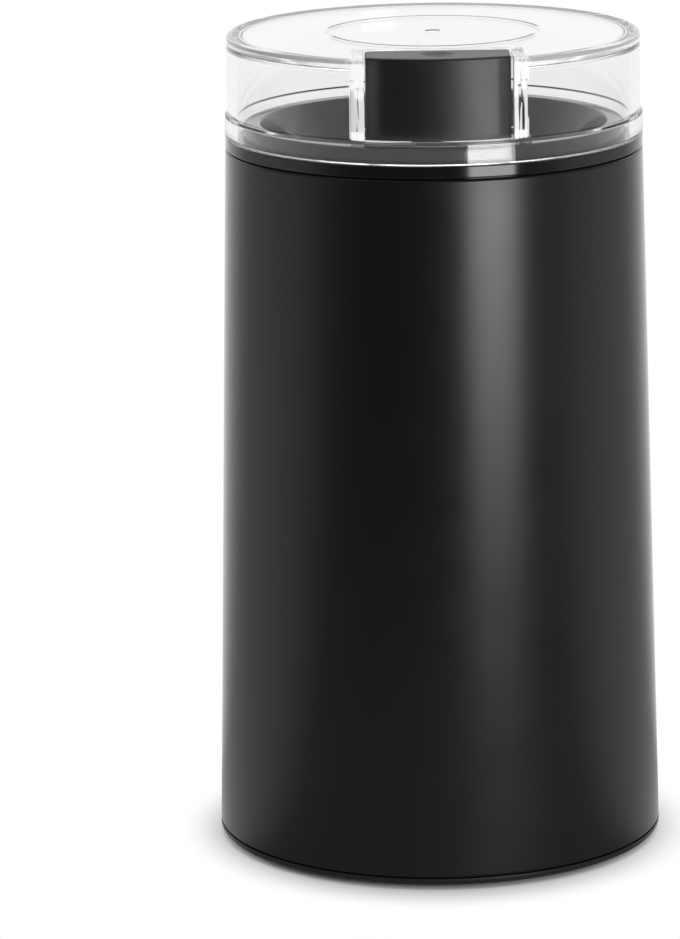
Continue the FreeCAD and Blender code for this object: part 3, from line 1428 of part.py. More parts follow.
def build_base_cover():
    """Base plate with its visible rim, spigot, air slots and screw holes."""
    body = new_body("base_cover")
    land = outer_radius(housing_bottom) - d.seam_depth
    spigot_outer = outer_radius(floor_top + d.cover_spigot) - d.housing_wall - d.fit_gap
    spigot_inner = spigot_outer - d.spigot_wall
    revolve(body, "Plate", [
        (0, floor_bottom),
        (spigot_inner, floor_bottom),
        (spigot_inner + d.floor_lift / 2, d.foot_reach),
        (outer_radius(d.foot_reach), d.foot_reach),
        (outer_radius(rim_top), rim_top),
        (land, rim_top),
        (land, housing_bottom),
        (spigot_outer, housing_bottom),
        (spigot_outer, floor_top + d.cover_spigot),
        (spigot_inner, floor_top + d.cover_spigot),
        (spigot_inner, floor_top),
        (0, floor_top),
    ])
    half = d.vent_width / 2
    sketch = new_sketch(body, "VentSketch", "XY_Plane", floor_bottom)
    draw_rectangle(sketch, d.vent_inner, -half, d.vent_outer, half)
    vent = pocket(body, "Vent", sketch, d.floor_thick)
    polar(body, "Vents", [vent], d.vent_count)
    sketch = new_sketch(body, "ScrewHoleSketch", "XY_Plane", floor_bottom)
    draw_circle(sketch, d.screw_radius + d.fit_gap / 2, 0, -base_screw_circle)
    hole = pocket(body, "ScrewHole", sketch, d.floor_thick)
    sketch = new_sketch(body, "BossReliefSketch", "XY_Plane", floor_top)
    relief = d.base_boss_radius + d.fit_gap
    draw_rectangle(
        sketch, -relief, -d.base_radius, relief, -base_screw_circle + relief
    )
    gap = pocket(body, "BossRelief", sketch, d.cover_spigot)
    polar(body, "ScrewHoles", [hole, gap], d.post_count)
    sketch = new_sketch(body, "InletReliefSketch", "XY_Plane", floor_top)
    relief = d.inlet_flange + d.fit_gap
    draw_rectangle(sketch, -relief, foot_circle, relief, d.base_radius)
    pocket(body, "InletRelief", sketch, d.cover_spigot)
    for name, side in (("Right", 1), ("Left", -1)):
        x = side * d.clamp_post_side
        sketch = new_sketch(body, name + "PostSketch", "XY_Plane", floor_top)
        draw_circle(sketch, d.clamp_post_radius, x, clamp_circle)
        pad(body, name + "Post", sketch, clamp_low - floor_top)
        sketch = new_sketch(body, name + "PostHoleSketch", "XY_Plane", floor_top)
        draw_circle(sketch, d.screw_radius, x, clamp_circle)
        body.Tip = pocket(body, name + "PostHole", sketch, clamp_low - floor_top)


def build_rubber_feet():
    """Round pads under the base plate."""
    feet = []
    for index, x, y in polar_spots(foot_circle, d.foot_count, d.foot_turn):
        low_radius = d.foot_radius - d.foot_taper
        feet.append(cone("Foot%d" % index, low_radius, d.foot_radius, 0, floor_bottom, x, y))
    group("rubber_feet", feet)


def upright_screw(name, x, y, head_low, length, thread=None):
    """Screw with its head at the bottom, driven upwards."""
    radius = d.screw_radius if thread is None else thread
    return fuse(name, [
        cylinder(name + "Head", d.head_radius, head_low, head_low + d.head_height, x, y),
        cylinder(name + "Thread", radius, head_low, head_low + d.head_height + length, x, y),
    ])


def build_screws():
    """Base screws, chassis screws and the two long motor screws."""
    screws = [
        upright_screw(
            "BaseScrew%d" % index, x, y, floor_bottom - d.head_height,
            d.floor_thick + d.base_boss_height / 2,
        )
        for index, x, y in polar_spots(base_screw_circle, d.post_count, to_front)
    ]
    group("base_screws", screws)
    screws = [
        upright_screw(
            "ChassisScrew%d" % index, x, y, carrier_bottom - d.head_height,
            d.carrier_thick + d.base_boss_height / 2,
        )
        for index, x, y in polar_spots(post_circle, d.post_count, to_back)
    ]
    group("chassis_screws", screws)
    leg_circle = d.stator_width / 2 - d.stator_frame / 2
    length = stack_top + d.upper_bush_height / 2 - bracket_bottom
    screws = [
        upright_screw(
            name, 0, side * leg_circle, bracket_bottom - d.head_height, length,
            d.motor_screw_radius,
        )
        for name, side in (("BackMotorScrew", 1), ("FrontMotorScrew", -1))
    ]
    group("motor_screws", screws)


def build_rubber_mounts():
    """Damping pads between the housing's ledges and the carrier's ears."""
    inner = post_circle - d.post_radius
    outer = outer_radius(carrier_top) - d.housing_wall - d.fit_gap - d.boss_wall / 2
    half = d.ear_width / 2
    pads = []
    for index, angle in polar_angles(d.post_count, size_of(0.0)):
        name = "Mount%d" % index
        block = box(name + "Block", (-half, inner, ledge_top), (half, outer, carrier_bottom))
        hole = cylinder(
            name + "Hole", d.head_radius + d.fit_gap, ledge_top, carrier_bottom,
            0, post_circle,
        )
        pads.append(turned(cut(name, block, hole), angle))
    group("rubber_mounts", pads)


def build_inlet():
    """Moulded block that fills the housing's notch, with a flange inside and the bore."""
    half = d.inlet_half - d.touch_gap
    top = inlet_top - d.touch_gap
    spigot_outer = outer_radius(floor_top + d.cover_spigot) - d.housing_wall - d.fit_gap
    neck = fuse("InletBlock", [
        box("InletNeck", (-half, inlet_rear, floor_top), (half, d.base_radius, top)),
        box(
            "InletTongue",
            (-half, spigot_outer + d.fit_gap, housing_bottom + d.touch_gap),
            (half, d.base_radius, d.inlet_level),
        ),
    ])
    inside = cone(
        "InletCone",
        outer_radius(0) - d.inlet_recess, outer_radius(top) - d.inlet_recess, 0, top,
    )
    flange_level = d.inlet_level + d.inlet_flange
    flange_face = outer_radius(flange_level) - d.housing_wall - d.gasket_thick
    flange = box(
        "InletFlange",
        (-d.inlet_flange, flange_face - d.funnel_wall, floor_top),
        (d.inlet_flange, flange_face, flange_level),
    )
    bore = lying_cylinder("InletBore", d.inlet_bore, inlet_rear, d.base_radius, 0, d.inlet_level)
    cut("cord_inlet", fuse("InletSolid", [common("InletFit", [neck, inside]), flange]), bore)


def build_clamp():
    """Bar across the cord's place behind the inlet, screwed to two posts of the base."""
    low = clamp_low
    high = low + d.clamp_thick
    half = d.clamp_length / 2
    near = clamp_circle - d.clamp_width / 2
    bar = box("ClampBar", (-half, near, low), (half, near + d.clamp_width, high))
    screws = []
    holes = []
    for name, side in (("Right", 1), ("Left", -1)):
        x = side * d.clamp_post_side
        hole_radius = d.screw_radius + d.fit_gap / 2
        holes.append(cylinder(name + "ClampHole", hole_radius, low, high, x, clamp_circle))
        thread_low = low - d.clamp_thick * 2
        screws.append(fuse(name + "ClampScrew", [
            cylinder(
                name + "ClampHead", d.head_radius, high, high + d.head_height,
                x, clamp_circle,
            ),
            cylinder(
                name + "ClampThread", d.screw_radius, thread_low, high + d.head_height,
                x, clamp_circle,
            ),
        ]))
    cut("cord_clamp", bar, fuse("ClampHoles", holes))
    group("clamp_screws", screws)


def build_electrics():
    """Terminal block and suppressor on the base plate, and the leads to the motor."""
    low = floor_top
    shift = terminal_shift
    block = box(
        "TerminalBody",
        (shift - d.terminal_length / 2, shift, low),
        (shift + d.terminal_length / 2, shift + d.terminal_width, low + d.terminal_height),
    )
    wells = [
        cylinder(
            name + "Well", d.terminal_well, low + d.terminal_height / 2,
            low + d.terminal_height, shift + side * d.terminal_length / 4,
            shift + d.terminal_width / 2,
        )
        for name, side in (("Right", 1), ("Left", -1))
    ]
    cut("terminal_block", block, fuse("TerminalWells", wells))
    box(
        "suppressor",
        (-shift - d.terminal_length / 2, shift, low),
        (-shift + d.terminal_length / 2, shift + d.terminal_width, low + d.terminal_height),
    )

    route = lead_circle.number
    level = brush_level().number
    switch_end = d.switch_length.number / 2
    drop = (switch_bottom + d.lead_rise).number
    front = -switch_radius.number
    holder_end = holder_span()[1].number
    terminal_top = (low + d.terminal_height).number
    wall_x = -math.sqrt(route * route - front * front)
    corner = route / math.sqrt(2)
    leads = [lead("SwitchLead", [
        (-switch_end, front, drop),
        (wall_x, front, drop),
        (wall_x, front, level),
        (-corner, -corner, level),
        (-route, 0, level),
        (-holder_end, 0, level),
    ])]
    coil_x = (d.bore_radius + d.shoe_thick + d.stator_length / 2 - d.stator_frame).number / 2
    coil_y = -((d.pole_width + d.stator_width) / 4 - d.stator_frame / 2).number
    coil_low = (stack_bottom - d.coil_overhang).number
    bend = d.lead_bend.number
    leads.append(lead("CoilLead", [
        (coil_x, coil_y, coil_low),
        (coil_x, coil_y, coil_low - bend),
        (holder_end + bend, coil_y, level),
        (holder_end + bend * 2, 0, level),
        (holder_end, 0, level),
    ]))
    shift_x = (shift + d.terminal_length / 4).number
    back_y = (shift + d.terminal_width / 2).number
    leads.append(lead("SupplyLead", [
        (shift_x, back_y, terminal_top - d.terminal_height.number / 2),
        (shift_x, back_y, level / 2 + terminal_top / 2),
        (shift_x, back_y - d.lead_bend.number, level + d.lead_bend.number * 2),
        (shift_x - d.lead_bend.number * 2, d.pole_width.number, stack_bottom.number
         - d.coil_overhang.number - d.wire_radius.number),
    ]))
    group("lead_wires", leads)


BEND_SHARE = 0.45  # share of the shorter run that a bend takes


def lead(name, points):
    """Insulated lead: straight runs joined by arcs that touch them."""
    corners = [FreeCAD.Vector(*point) for point in points]
    edges = []
    start = corners[0]
    for before, corner, after in zip(corners, corners[1:], corners[2:]):
        back = (before - corner).normalize()
        ahead = (after - corner).normalize()
        turn = math.pi - back.getAngle(ahead)
        shorter = min((before - corner).Length, (after - corner).Length)
        touch = BEND_SHARE * shorter
        radius = touch / math.tan(turn / 2)
        entry = corner + back * touch
        leave = corner + ahead * touch
        toward = (back + ahead).normalize()
        centre = corner + toward * math.hypot(radius, touch)
        edges.append(Part.LineSegment(start, entry).toShape())
        edges.append(Part.Arc(entry, centre - toward * radius, leave).toShape())
        start = leave
    edges.append(Part.LineSegment(start, corners[-1]).toShape())
    way = (corners[1] - corners[0]).normalize()
    ring = Part.Wire([Part.makeCircle(d.wire_radius.number, corners[0], way)])
    item = doc.addObject("Part::Feature", name)
    item.Shape = Part.Wire(edges).makePipeShell([ring], True, False)
    return item


def check_and_write():
    """Stops if anything in the document failed, then writes each sub-part."""
    doc.recompute()
    for item in doc.Objects:
        if "Invalid" in item.State or "Error" in item.State:
            raise RuntimeError("%s failed: %s" % (item.Label, item.State))
    os.makedirs("parts", exist_ok=True)
    for label in SUBPARTS:
        item = doc.getObjectsByLabel(label)[0]
        if item.Shape.isNull() or not item.Shape.isValid() or not item.Shape.Solids:
            raise RuntimeError("%s has no valid solid" % label)
        item.Shape.exportStep("parts/%s.step" % label)


SUBPARTS = (
    "housing_shell", "top_ring", "lid", "push_button", "base_cover", "steel_bowl",
    "bowl_gasket", "shaft_seal", "blade", "blade_collar", "blade_nut", "motor_shaft",
    "armature_core", "armature_winding", "commutator", "cooling_fan", "thrust_washers",
    "motor_carrier", "rubber_mounts", "stator_core", "field_coils", "lower_bracket",
    "upper_bush", "lower_bush", "brush_holders", "carbon_brushes", "brush_springs",
    "button_spring", "interlock_pin", "interlock_spring", "power_switch",
    "switch_plunger", "switch_lever", "switch_bracket", "interlock_switch",
    "interlock_bracket", "chassis_screws", "motor_screws", "base_screws", "rubber_feet",
    "cord_inlet", "cord_clamp", "clamp_screws", "terminal_block", "suppressor",
    "lead_wires",
)

build_housing_shell()
build_top_ring()
build_lid()
build_push_button()
build_base_cover()
build_steel_bowl()
build_bowl_gasket()
build_shaft_seal()
build_rotor()
build_motor_carrier()
build_stator()
build_lower_bracket()
build_brushes()
build_bushes()
build_button_spring()
build_interlock_pin()
build_interlock_spring()
build_switches()
build_rubber_mounts()
build_screws()
build_rubber_feet()
build_inlet()
build_clamp()
build_electrics()
check_and_write()
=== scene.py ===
"""Looks of the electric spice grinder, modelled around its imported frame.

Each sub-assembly is a class: its sizes are fields in metres, and its methods work out the surfaces
with numpy and dress them. Finishes are frozen dataclasses that build their own node materials.
"""

import json
import logging
import math
from dataclasses import dataclass
from enum import Enum

import bmesh
import bpy
import numpy as np
from mathutils import Matrix, Vector


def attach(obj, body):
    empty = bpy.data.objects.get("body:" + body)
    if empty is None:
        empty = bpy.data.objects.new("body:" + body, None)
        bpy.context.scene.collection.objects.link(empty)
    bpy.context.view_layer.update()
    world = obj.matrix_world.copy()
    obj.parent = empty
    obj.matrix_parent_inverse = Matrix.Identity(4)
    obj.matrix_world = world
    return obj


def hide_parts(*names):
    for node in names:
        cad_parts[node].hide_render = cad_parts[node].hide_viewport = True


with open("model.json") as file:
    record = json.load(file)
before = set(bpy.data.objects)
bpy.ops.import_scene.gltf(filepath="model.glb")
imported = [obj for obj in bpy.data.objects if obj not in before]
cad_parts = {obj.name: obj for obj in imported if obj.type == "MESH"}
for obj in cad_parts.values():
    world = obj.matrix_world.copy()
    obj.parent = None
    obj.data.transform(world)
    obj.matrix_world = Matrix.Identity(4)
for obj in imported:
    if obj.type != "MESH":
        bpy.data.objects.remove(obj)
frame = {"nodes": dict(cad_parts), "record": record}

LOG = logging.getLogger("spice_grinder")
MM = 0.001
TAU = 2 * math.pi
Rgb = tuple[float, float, float]
Points = np.ndarray
Mesh = tuple[np.ndarray, list]
Pair = tuple[float, float]
Tree = bpy.types.NodeTree
Socket = bpy.types.NodeSocket
Object = bpy.types.Object
Value = Socket | float


# ---------------------------------------------------------------- shapes


def arc(centre: tuple[float, float], radius: float, start: float, end: float, count: int) -> Points:
    """Points on a circle: centre plus radius times cosine and sine of evenly stepped angles.

    Args:
        centre: Middle of the circle.
        radius: Its radius.
        start: First angle in degrees.
        end: Last angle in degrees.
        count: Number of points.

    Returns:
        An array of count rows of two coordinates.
    """
    turn = np.radians(np.linspace(start, end, count))
    return np.column_stack([centre[0] + radius * np.cos(turn), centre[1] + radius * np.sin(turn)])


def softened(corners: list[tuple[float, float, float]], support: float = 0.0, steps: int = 6) -> Points:
    """Closed outline whose corners are rounded: each corner becomes an arc tangent to its two sides.

    The arc's middle lies on the corner's bisector at radius / sin(half the corner), and it touches
    the sides at radius / tan(half the corner) from the corner.

    Args:
        corners: Rows of x, y and the corner's radius, in order round the outline.
        support: Distance of an extra point before and after each arc, which keeps the sides flat.
        steps: Pieces of each arc.

    Returns:
        The outline's points, one row each.
    """
    spots = np.array([c[:2] for c in corners], float)
    rows = []
    for index, (x, y, radius) in enumerate(corners):
        here = np.array([x, y])
        before = spots[index - 1] - here
        after = spots[(index + 1) % len(corners)] - here
        before_way, after_way = before / np.linalg.norm(before), after / np.linalg.norm(after)
        half = 0.5 * math.acos(float(np.clip(before_way @ after_way, -1, 1)))
        if radius <= 0 or half > math.radians(89.5):
            rows.append(here[None, :])
            continue
        reach = radius / math.tan(half)
        start, end = here + before_way * reach, here + after_way * reach
        bisector = before_way + after_way
        middle = here + bisector / np.linalg.norm(bisector) * radius / math.sin(half)
        first, last = start - middle, end - middle
        share = np.linspace(0, 1, steps + 1)[:, None]
        sweep = math.pi - 2 * half
        bent = (np.sin((1 - share) * sweep) * first + np.sin(share * sweep) * last) / math.sin(sweep)
        run = [middle + bent]
        if support > 0:
            run = [start[None, :] + before_way * support] + run + [end[None, :] + after_way * support]
        rows.append(np.vstack(run))
    return np.vstack(rows)


def turned(outline: Points, segments: int = 192) -> Mesh:
    """Surface of revolution: each outline point (r, z) goes round to (r cos t, r sin t, z).

    Args:
        outline: Closed outline. One that starts and ends on the axis isn't closed along it.
        segments: Steps round the axis.

    Returns:
        Vertices and faces.
    """
    turn = np.arange(segments) * TAU / segments
    radius, level = outline[:, 0][:, None], outline[:, 1][:, None]
    grid = np.stack([
        radius * np.cos(turn), radius * np.sin(turn), np.broadcast_to(level, (len(outline), segments)),
    ], axis=-1)
    closed = max(outline[0, 0], outline[-1, 0]) > 0
    return grid.reshape(-1, 3), grid_faces(len(outline), segments, closed, True)


def grid_faces(rows: int, columns: int, wrap_rows: bool, wrap_columns: bool) -> list:
    """Quads between the neighbours of a grid, closed in the directions that wrap.

    Args:
        rows: Points in the first direction.
        columns: Points in the second direction.
        wrap_rows: True if the last row joins the first.
        wrap_columns: True if the last column joins the first.

    Returns:
        Four vertex numbers for each face.
    """
    i = np.arange(rows if wrap_rows else rows - 1)
    j = np.arange(columns if wrap_columns else columns - 1)
    i, j = (a.ravel() for a in np.meshgrid(i, j, indexing="ij"))
    up, across = (i + 1) % rows, (j + 1) % columns
    return np.column_stack([
        i * columns + j, i * columns + across, up * columns + across, up * columns + j,
    ]).tolist()


def stacked(outlines: np.ndarray) -> Mesh:
    """Solid through a pile of outlines with equal counts; its two ends are closed by flat faces.

    Args:
        outlines: Array of levels by points by three coordinates, anticlockwise from above, rising.

    Returns:
        Vertices and faces.
    """
    levels, count, _ = outlines.shape
    faces = grid_faces(levels, count, False, True)
    faces.append(list(range(count - 1, -1, -1)))
    faces.append(list(range((levels - 1) * count, levels * count)))
    return outlines.reshape(-1, 3), faces


def prism(outline: Points, low: float, high: float) -> Mesh:
    """Upright prism: the outline at two heights.

    Args:
        outline: Anticlockwise points in the plane.
        low: Lower height.
        high: Upper height.

    Returns:
        Vertices and faces.
    """
    count = len(outline)
    floor = np.column_stack([outline, np.full(count, low)])
    roof = np.column_stack([outline, np.full(count, high)])
    return stacked(np.stack([floor, roof]))


def peg(spot: Pair, radius: float, low: float, high: float, sides: int = 24) -> Mesh:
    """Upright round prism: evenly spaced points of a circle at two heights."""
    return prism(arc(spot, radius, 0, 360 - 360 / sides, sides), low, high)


def box_outline(x0: float, y0: float, x1: float, y1: float) -> Points:
    """Corners of a rectangle, anticlockwise."""
    return np.array([(x0, y0), (x1, y0), (x1, y1), (x0, y1)], float)


def tower_outline(half: float, back: float, front: float, steps: int = 24) -> Points:
    """Footprint with straight sides and back, and a front on a circle about the axis.

    Args:
        half: Half width.
        back: Distance of the back from the axis, towards -Y.
        front: Radius of the front.
        steps: Pieces of the front's arc.

    Returns:
        Anticlockwise points.
    """
    angle = math.degrees(math.asin(half / front))
    return np.vstack([
        arc((0, 0), front, -90 - angle, -90 + angle, steps + 1), [(half, -back), (-half, -back)],
    ])


def moved(mesh: Mesh, turn: float = 0.0, shift: tuple[float, float, float] = (0.0, 0.0, 0.0)) -> Mesh:
    """A mesh turned about Z by an angle in degrees, then shifted."""
    c, s = math.cos(math.radians(turn)), math.sin(math.radians(turn))
    spin = np.array([[c, s, 0], [-s, c, 0], [0, 0, 1]])
    return mesh[0] @ spin + np.array(shift), mesh[1]


def thirds(mesh: Mesh) -> list[Mesh]:
    """A mesh three times, a third of a turn apart."""
    return [moved(mesh, turn) for turn in (0, 120, 240)]


def together(meshes: list[Mesh]) -> Mesh:
    """Several meshes as one: their vertices in a row, and their faces renumbered."""
    vertices, faces, base = [], [], 0
    for points, loops in meshes:
        vertices.append(points)
        faces += [[base + v for v in loop] for loop in loops]
        base += len(points)
    return np.vstack(vertices), faces


# ---------------------------------------------------------------- Blender objects


def new_object(name: str, mesh: Mesh) -> Object:
    """Object at the origin with a closed mesh whose doubled points are merged.

    Args:
        name: Name of the piece.
        mesh: Vertices and faces.

    Returns:
        The linked object.
    """
    data = bpy.data.meshes.new(name)
    data.from_pydata(mesh[0].tolist(), [], mesh[1])
    work = bmesh.new()
    work.from_mesh(data)
    bmesh.ops.remove_doubles(work, verts=work.verts, dist=1e-7)
    bmesh.ops.recalc_face_normals(work, faces=work.faces)
    work.to_mesh(data)
    work.free()
    obj = bpy.data.objects.new(name, data)
    bpy.context.scene.collection.objects.link(obj)
    return obj


class Carve(Enum):
    """What a tool does to a solid."""

    CUT = "DIFFERENCE"
    ADD = "UNION"


def carved(obj: Object, tools: list[tuple[Carve, Mesh]]) -> Object:
    """Cuts tools out of a solid or adds them to it, one after the other, and keeps the result.

    Args:
        obj: The solid.
        tools: What to do, and the tool's closed mesh.

    Returns:
        The same object.
    """
    obj.data.transform(Matrix.Scale(1.0 / MM, 4))
    for index, (action, mesh) in enumerate(tools):
        tool = new_object("tool", mesh)
        tool.data.transform(Matrix.Scale(1.0 / MM, 4))
        step = obj.modifiers.new(f"step{index}", "BOOLEAN")
        step.operation = action.value
        step.solver = "EXACT"
        step.object = tool
        settle(obj)
        data = tool.data
        bpy.data.objects.remove(tool)
        bpy.data.meshes.remove(data)
    obj.data.transform(Matrix.Scale(MM, 4))
    return obj


def settle(obj: Object) -> None:
    """Writes an object's modifiers into its mesh."""
    graph = bpy.context.evaluated_depsgraph_get()
    graph.update()
    whole = bpy.data.meshes.new_from_object(obj.evaluated_get(graph))
    old = obj.data
    obj.modifiers.clear()
    obj.data = whole
    name = old.name
    bpy.data.meshes.remove(old)
    whole.name = name


def bevelled(obj: Object, width: float, angle: float = 40.0, segments: int = 2) -> None:
    """Rounds every edge sharper than an angle.

    Args:
        obj: The solid.
        width: Width of the rounding.
        angle: Least angle between faces, in degrees.
        segments: Steps of the rounding.
    """
    step = obj.modifiers.new("soft_edges", "BEVEL")
    step.width = width
    step.segments = segments
    step.limit_method = "ANGLE"
    step.angle_limit = math.radians(angle)
    step.use_clamp_overlap = True
    step.miter_outer = "MITER_ARC"
    settle(obj)


def shaded(obj: Object, angle: float = 28.0) -> None:
    """Smooth shading with hard edges where faces meet at more than an angle in degrees."""
    work = bmesh.new()
    work.from_mesh(obj.data)
    limit = math.radians(angle)
    for edge in work.edges:
        edge.smooth = len(edge.link_faces) == 2 and edge.calc_face_angle(math.pi) < limit
    for face in work.faces:
        face.smooth = True
    work.to_mesh(obj.data)
    work.free()


# ---------------------------------------------------------------- finishes


class Grain(Enum):
    """Small relief of a surface."""

    PLAIN = "plain"
    SATIN = "satin"
    TURNED = "turned"
    BRUSHED = "brushed"
    LAYERED = "layered"
    CAST = "cast"


def node(tree: Tree, kind: str, inputs: dict | None = None,
         **settings: str | bool) -> bpy.types.Node:
    """Adds a node, sets its fields and fills its inputs.

    Args:
        tree: The nodes to add to.
        kind: Type of the node, without the prefix ShaderNode.
        inputs: A value or another node's output for each input, by its name or number.
        settings: Fields of the node.

    Returns:
        The node.
    """
    made = tree.nodes.new("ShaderNode" + kind)
    for name, value in settings.items():
        setattr(made, name, value)
    for name, value in (inputs or {}).items():
        if isinstance(value, Socket):
            tree.links.new(value, made.inputs[name])
        else:
            made.inputs[name].default_value = value
    return made


def joined(tree: Tree, kind: str, *values: Value) -> Socket:
    """Values joined one after the other by an operation of a Math node."""
    total = values[0]
    for value in values[1:]:
        total = node(tree, "Math", {0: total, 1: value}, operation=kind).outputs[0]
    return total


def eased(tree: Tree, value: Value, span: Pair, to: Pair = (0.0, 1.0)) -> Socket:
    """Smooth step of a value: from the first to the second of two results over a span."""
    return node(tree, "MapRange", {
        "Value": value, "From Min": span[0], "From Max": span[1], "To Min": to[0], "To Max": to[1],
    }, interpolation_type="SMOOTHSTEP").outputs[0]


def length_of(tree: Tree, vector: Value, factors: Rgb = (1.0, 1.0, 1.0)) -> Socket:
    """Length of a vector whose parts are multiplied by factors first."""
    scaled = node(tree, "VectorMath", {0: vector, 1: factors}, operation="MULTIPLY").outputs[0]
    return node(tree, "VectorMath", {0: scaled}, operation="LENGTH").outputs["Value"]


def mixed(tree: Tree, share: Value, first: Value, second: Value) -> Socket:
    """Two shaders mixed: the second has the share."""
    return node(tree, "MixShader", {"Fac": share, 1: first, 2: second}).outputs[0]


@dataclass(frozen=True)
class Finish:
    """A material: colour with patches, roughness with variation, and a relief.

    Scales are in patterns per metre on Object coordinates, and depth is in metres. The rim's gloss
    is the share by which a glancing look lowers the roughness.
    """

    name: str
    colour: Rgb
    second: Rgb
    rough: Pair = (0.35, 0.45)
    metallic: float = 0.0
    grain: Grain = Grain.SATIN
    grain_scale: float = 4500.0
    grain_depth: float = 0.00001
    grain_strength: float = 0.2
    patch_scale: float = 60.0
    ior: float = 1.5
    coat: float = 0.0
    coat_rough: float = 0.05
    sheen: float = 0.0
    rim_gloss: float = 0.0

    def shader(self, tree: Tree) -> bpy.types.Node:
        """The Principled shader with its colour, roughness and relief."""
        place = node(tree, "TexCoord").outputs["Object"]
        colour = node(tree, "Mix", {
            "Factor": self.noise(tree, place, self.patch_scale, 3.0),
            "A": (*self.colour, 1), "B": (*self.second, 1),
        }, data_type="RGBA").outputs["Result"]
        roughness = node(tree, "MapRange", {
            "Value": self.noise(tree, place, self.patch_scale * 2.3, 4.0),
            "From Min": 0.3, "From Max": 0.7, "To Min": self.rough[0], "To Max": self.rough[1],
        }).outputs[0]
        if self.rim_gloss:
            glance = node(tree, "MapRange", {
                "Value": node(tree, "LayerWeight").outputs["Facing"],
                "From Min": 0.55, "To Min": 1.0, "To Max": 1.0 - self.rim_gloss,
            }).outputs[0]
            roughness = joined(tree, "MULTIPLY", roughness, glance)
        shader = node(tree, "BsdfPrincipled", {
            "Base Color": colour, "Roughness": roughness, "Metallic": self.metallic, "IOR": self.ior,
            "Coat Weight": self.coat, "Coat Roughness": self.coat_rough, "Sheen Weight": self.sheen,
        })
        relief = self.relief(tree, place)
        if relief is not None:
            bump = node(tree, "Bump", {
                "Strength": self.grain_strength, "Distance": self.grain_depth, "Height": relief,
            })
            tree.links.new(bump.outputs[0], shader.inputs["Normal"])
        return shader

    def surface(self, tree: Tree) -> Socket:
        """What the material shows."""
        return self.shader(tree).outputs[0]

    def build(self) -> bpy.types.Material:
        """The node material."""
        material = bpy.data.materials.new(self.name)
        material.use_nodes = True
        tree = material.node_tree
        tree.nodes.clear()
        node(tree, "OutputMaterial", {"Surface": self.surface(tree)})
        return material

    def noise(self, tree: Tree, place: Value, scale: float, detail: float) -> Socket:
        """Noise at a scale in patterns per metre, with a number of octaves."""
        return node(tree, "TexNoise", {"Vector": place, "Scale": scale, "Detail": detail}).outputs["Fac"]

    def stretched(self, tree: Tree, place: Value, scale: Rgb) -> Socket:
        """Coordinates scaled apart in X, Y and Z by a Mapping node."""
        return node(tree, "Mapping", {"Vector": place, "Scale": scale}).outputs["Vector"]

    def around(self, tree: Tree, place: Value) -> Socket:
        """Distance from the Z axis and height as a vector, for lathe marks."""
        height = node(tree, "SeparateXYZ", {0: place}).outputs["Z"]
        return node(tree, "CombineXYZ", {"X": length_of(tree, place, (1, 1, 0)), "Y": height}).outputs[0]

    def relief(self, tree: Tree, place: Value) -> Socket | None:
        """Height of the grain, or None for a plain surface."""
        if self.grain is Grain.PLAIN:
            return None
        if self.grain is Grain.TURNED:
            return self.noise(tree, self.around(tree, place), self.grain_scale, 2.0)
        if self.grain is Grain.BRUSHED:
            return self.noise(tree, self.stretched(tree, place, (0.03, 1, 1)), self.grain_scale, 2.0)
        if self.grain is Grain.LAYERED:
            return node(tree, "TexWave", {
                "Vector": place, "Scale": self.grain_scale, "Distortion": 0.4,
            }, bands_direction="Z").outputs["Fac"]
        if self.grain is Grain.CAST:
            return self.noise(tree, place, self.grain_scale, 5.0)
        return node(tree, "TexVoronoi", {
            "Vector": place, "Scale": self.grain_scale,
        }, feature="SMOOTH_F1").outputs["Distance"]


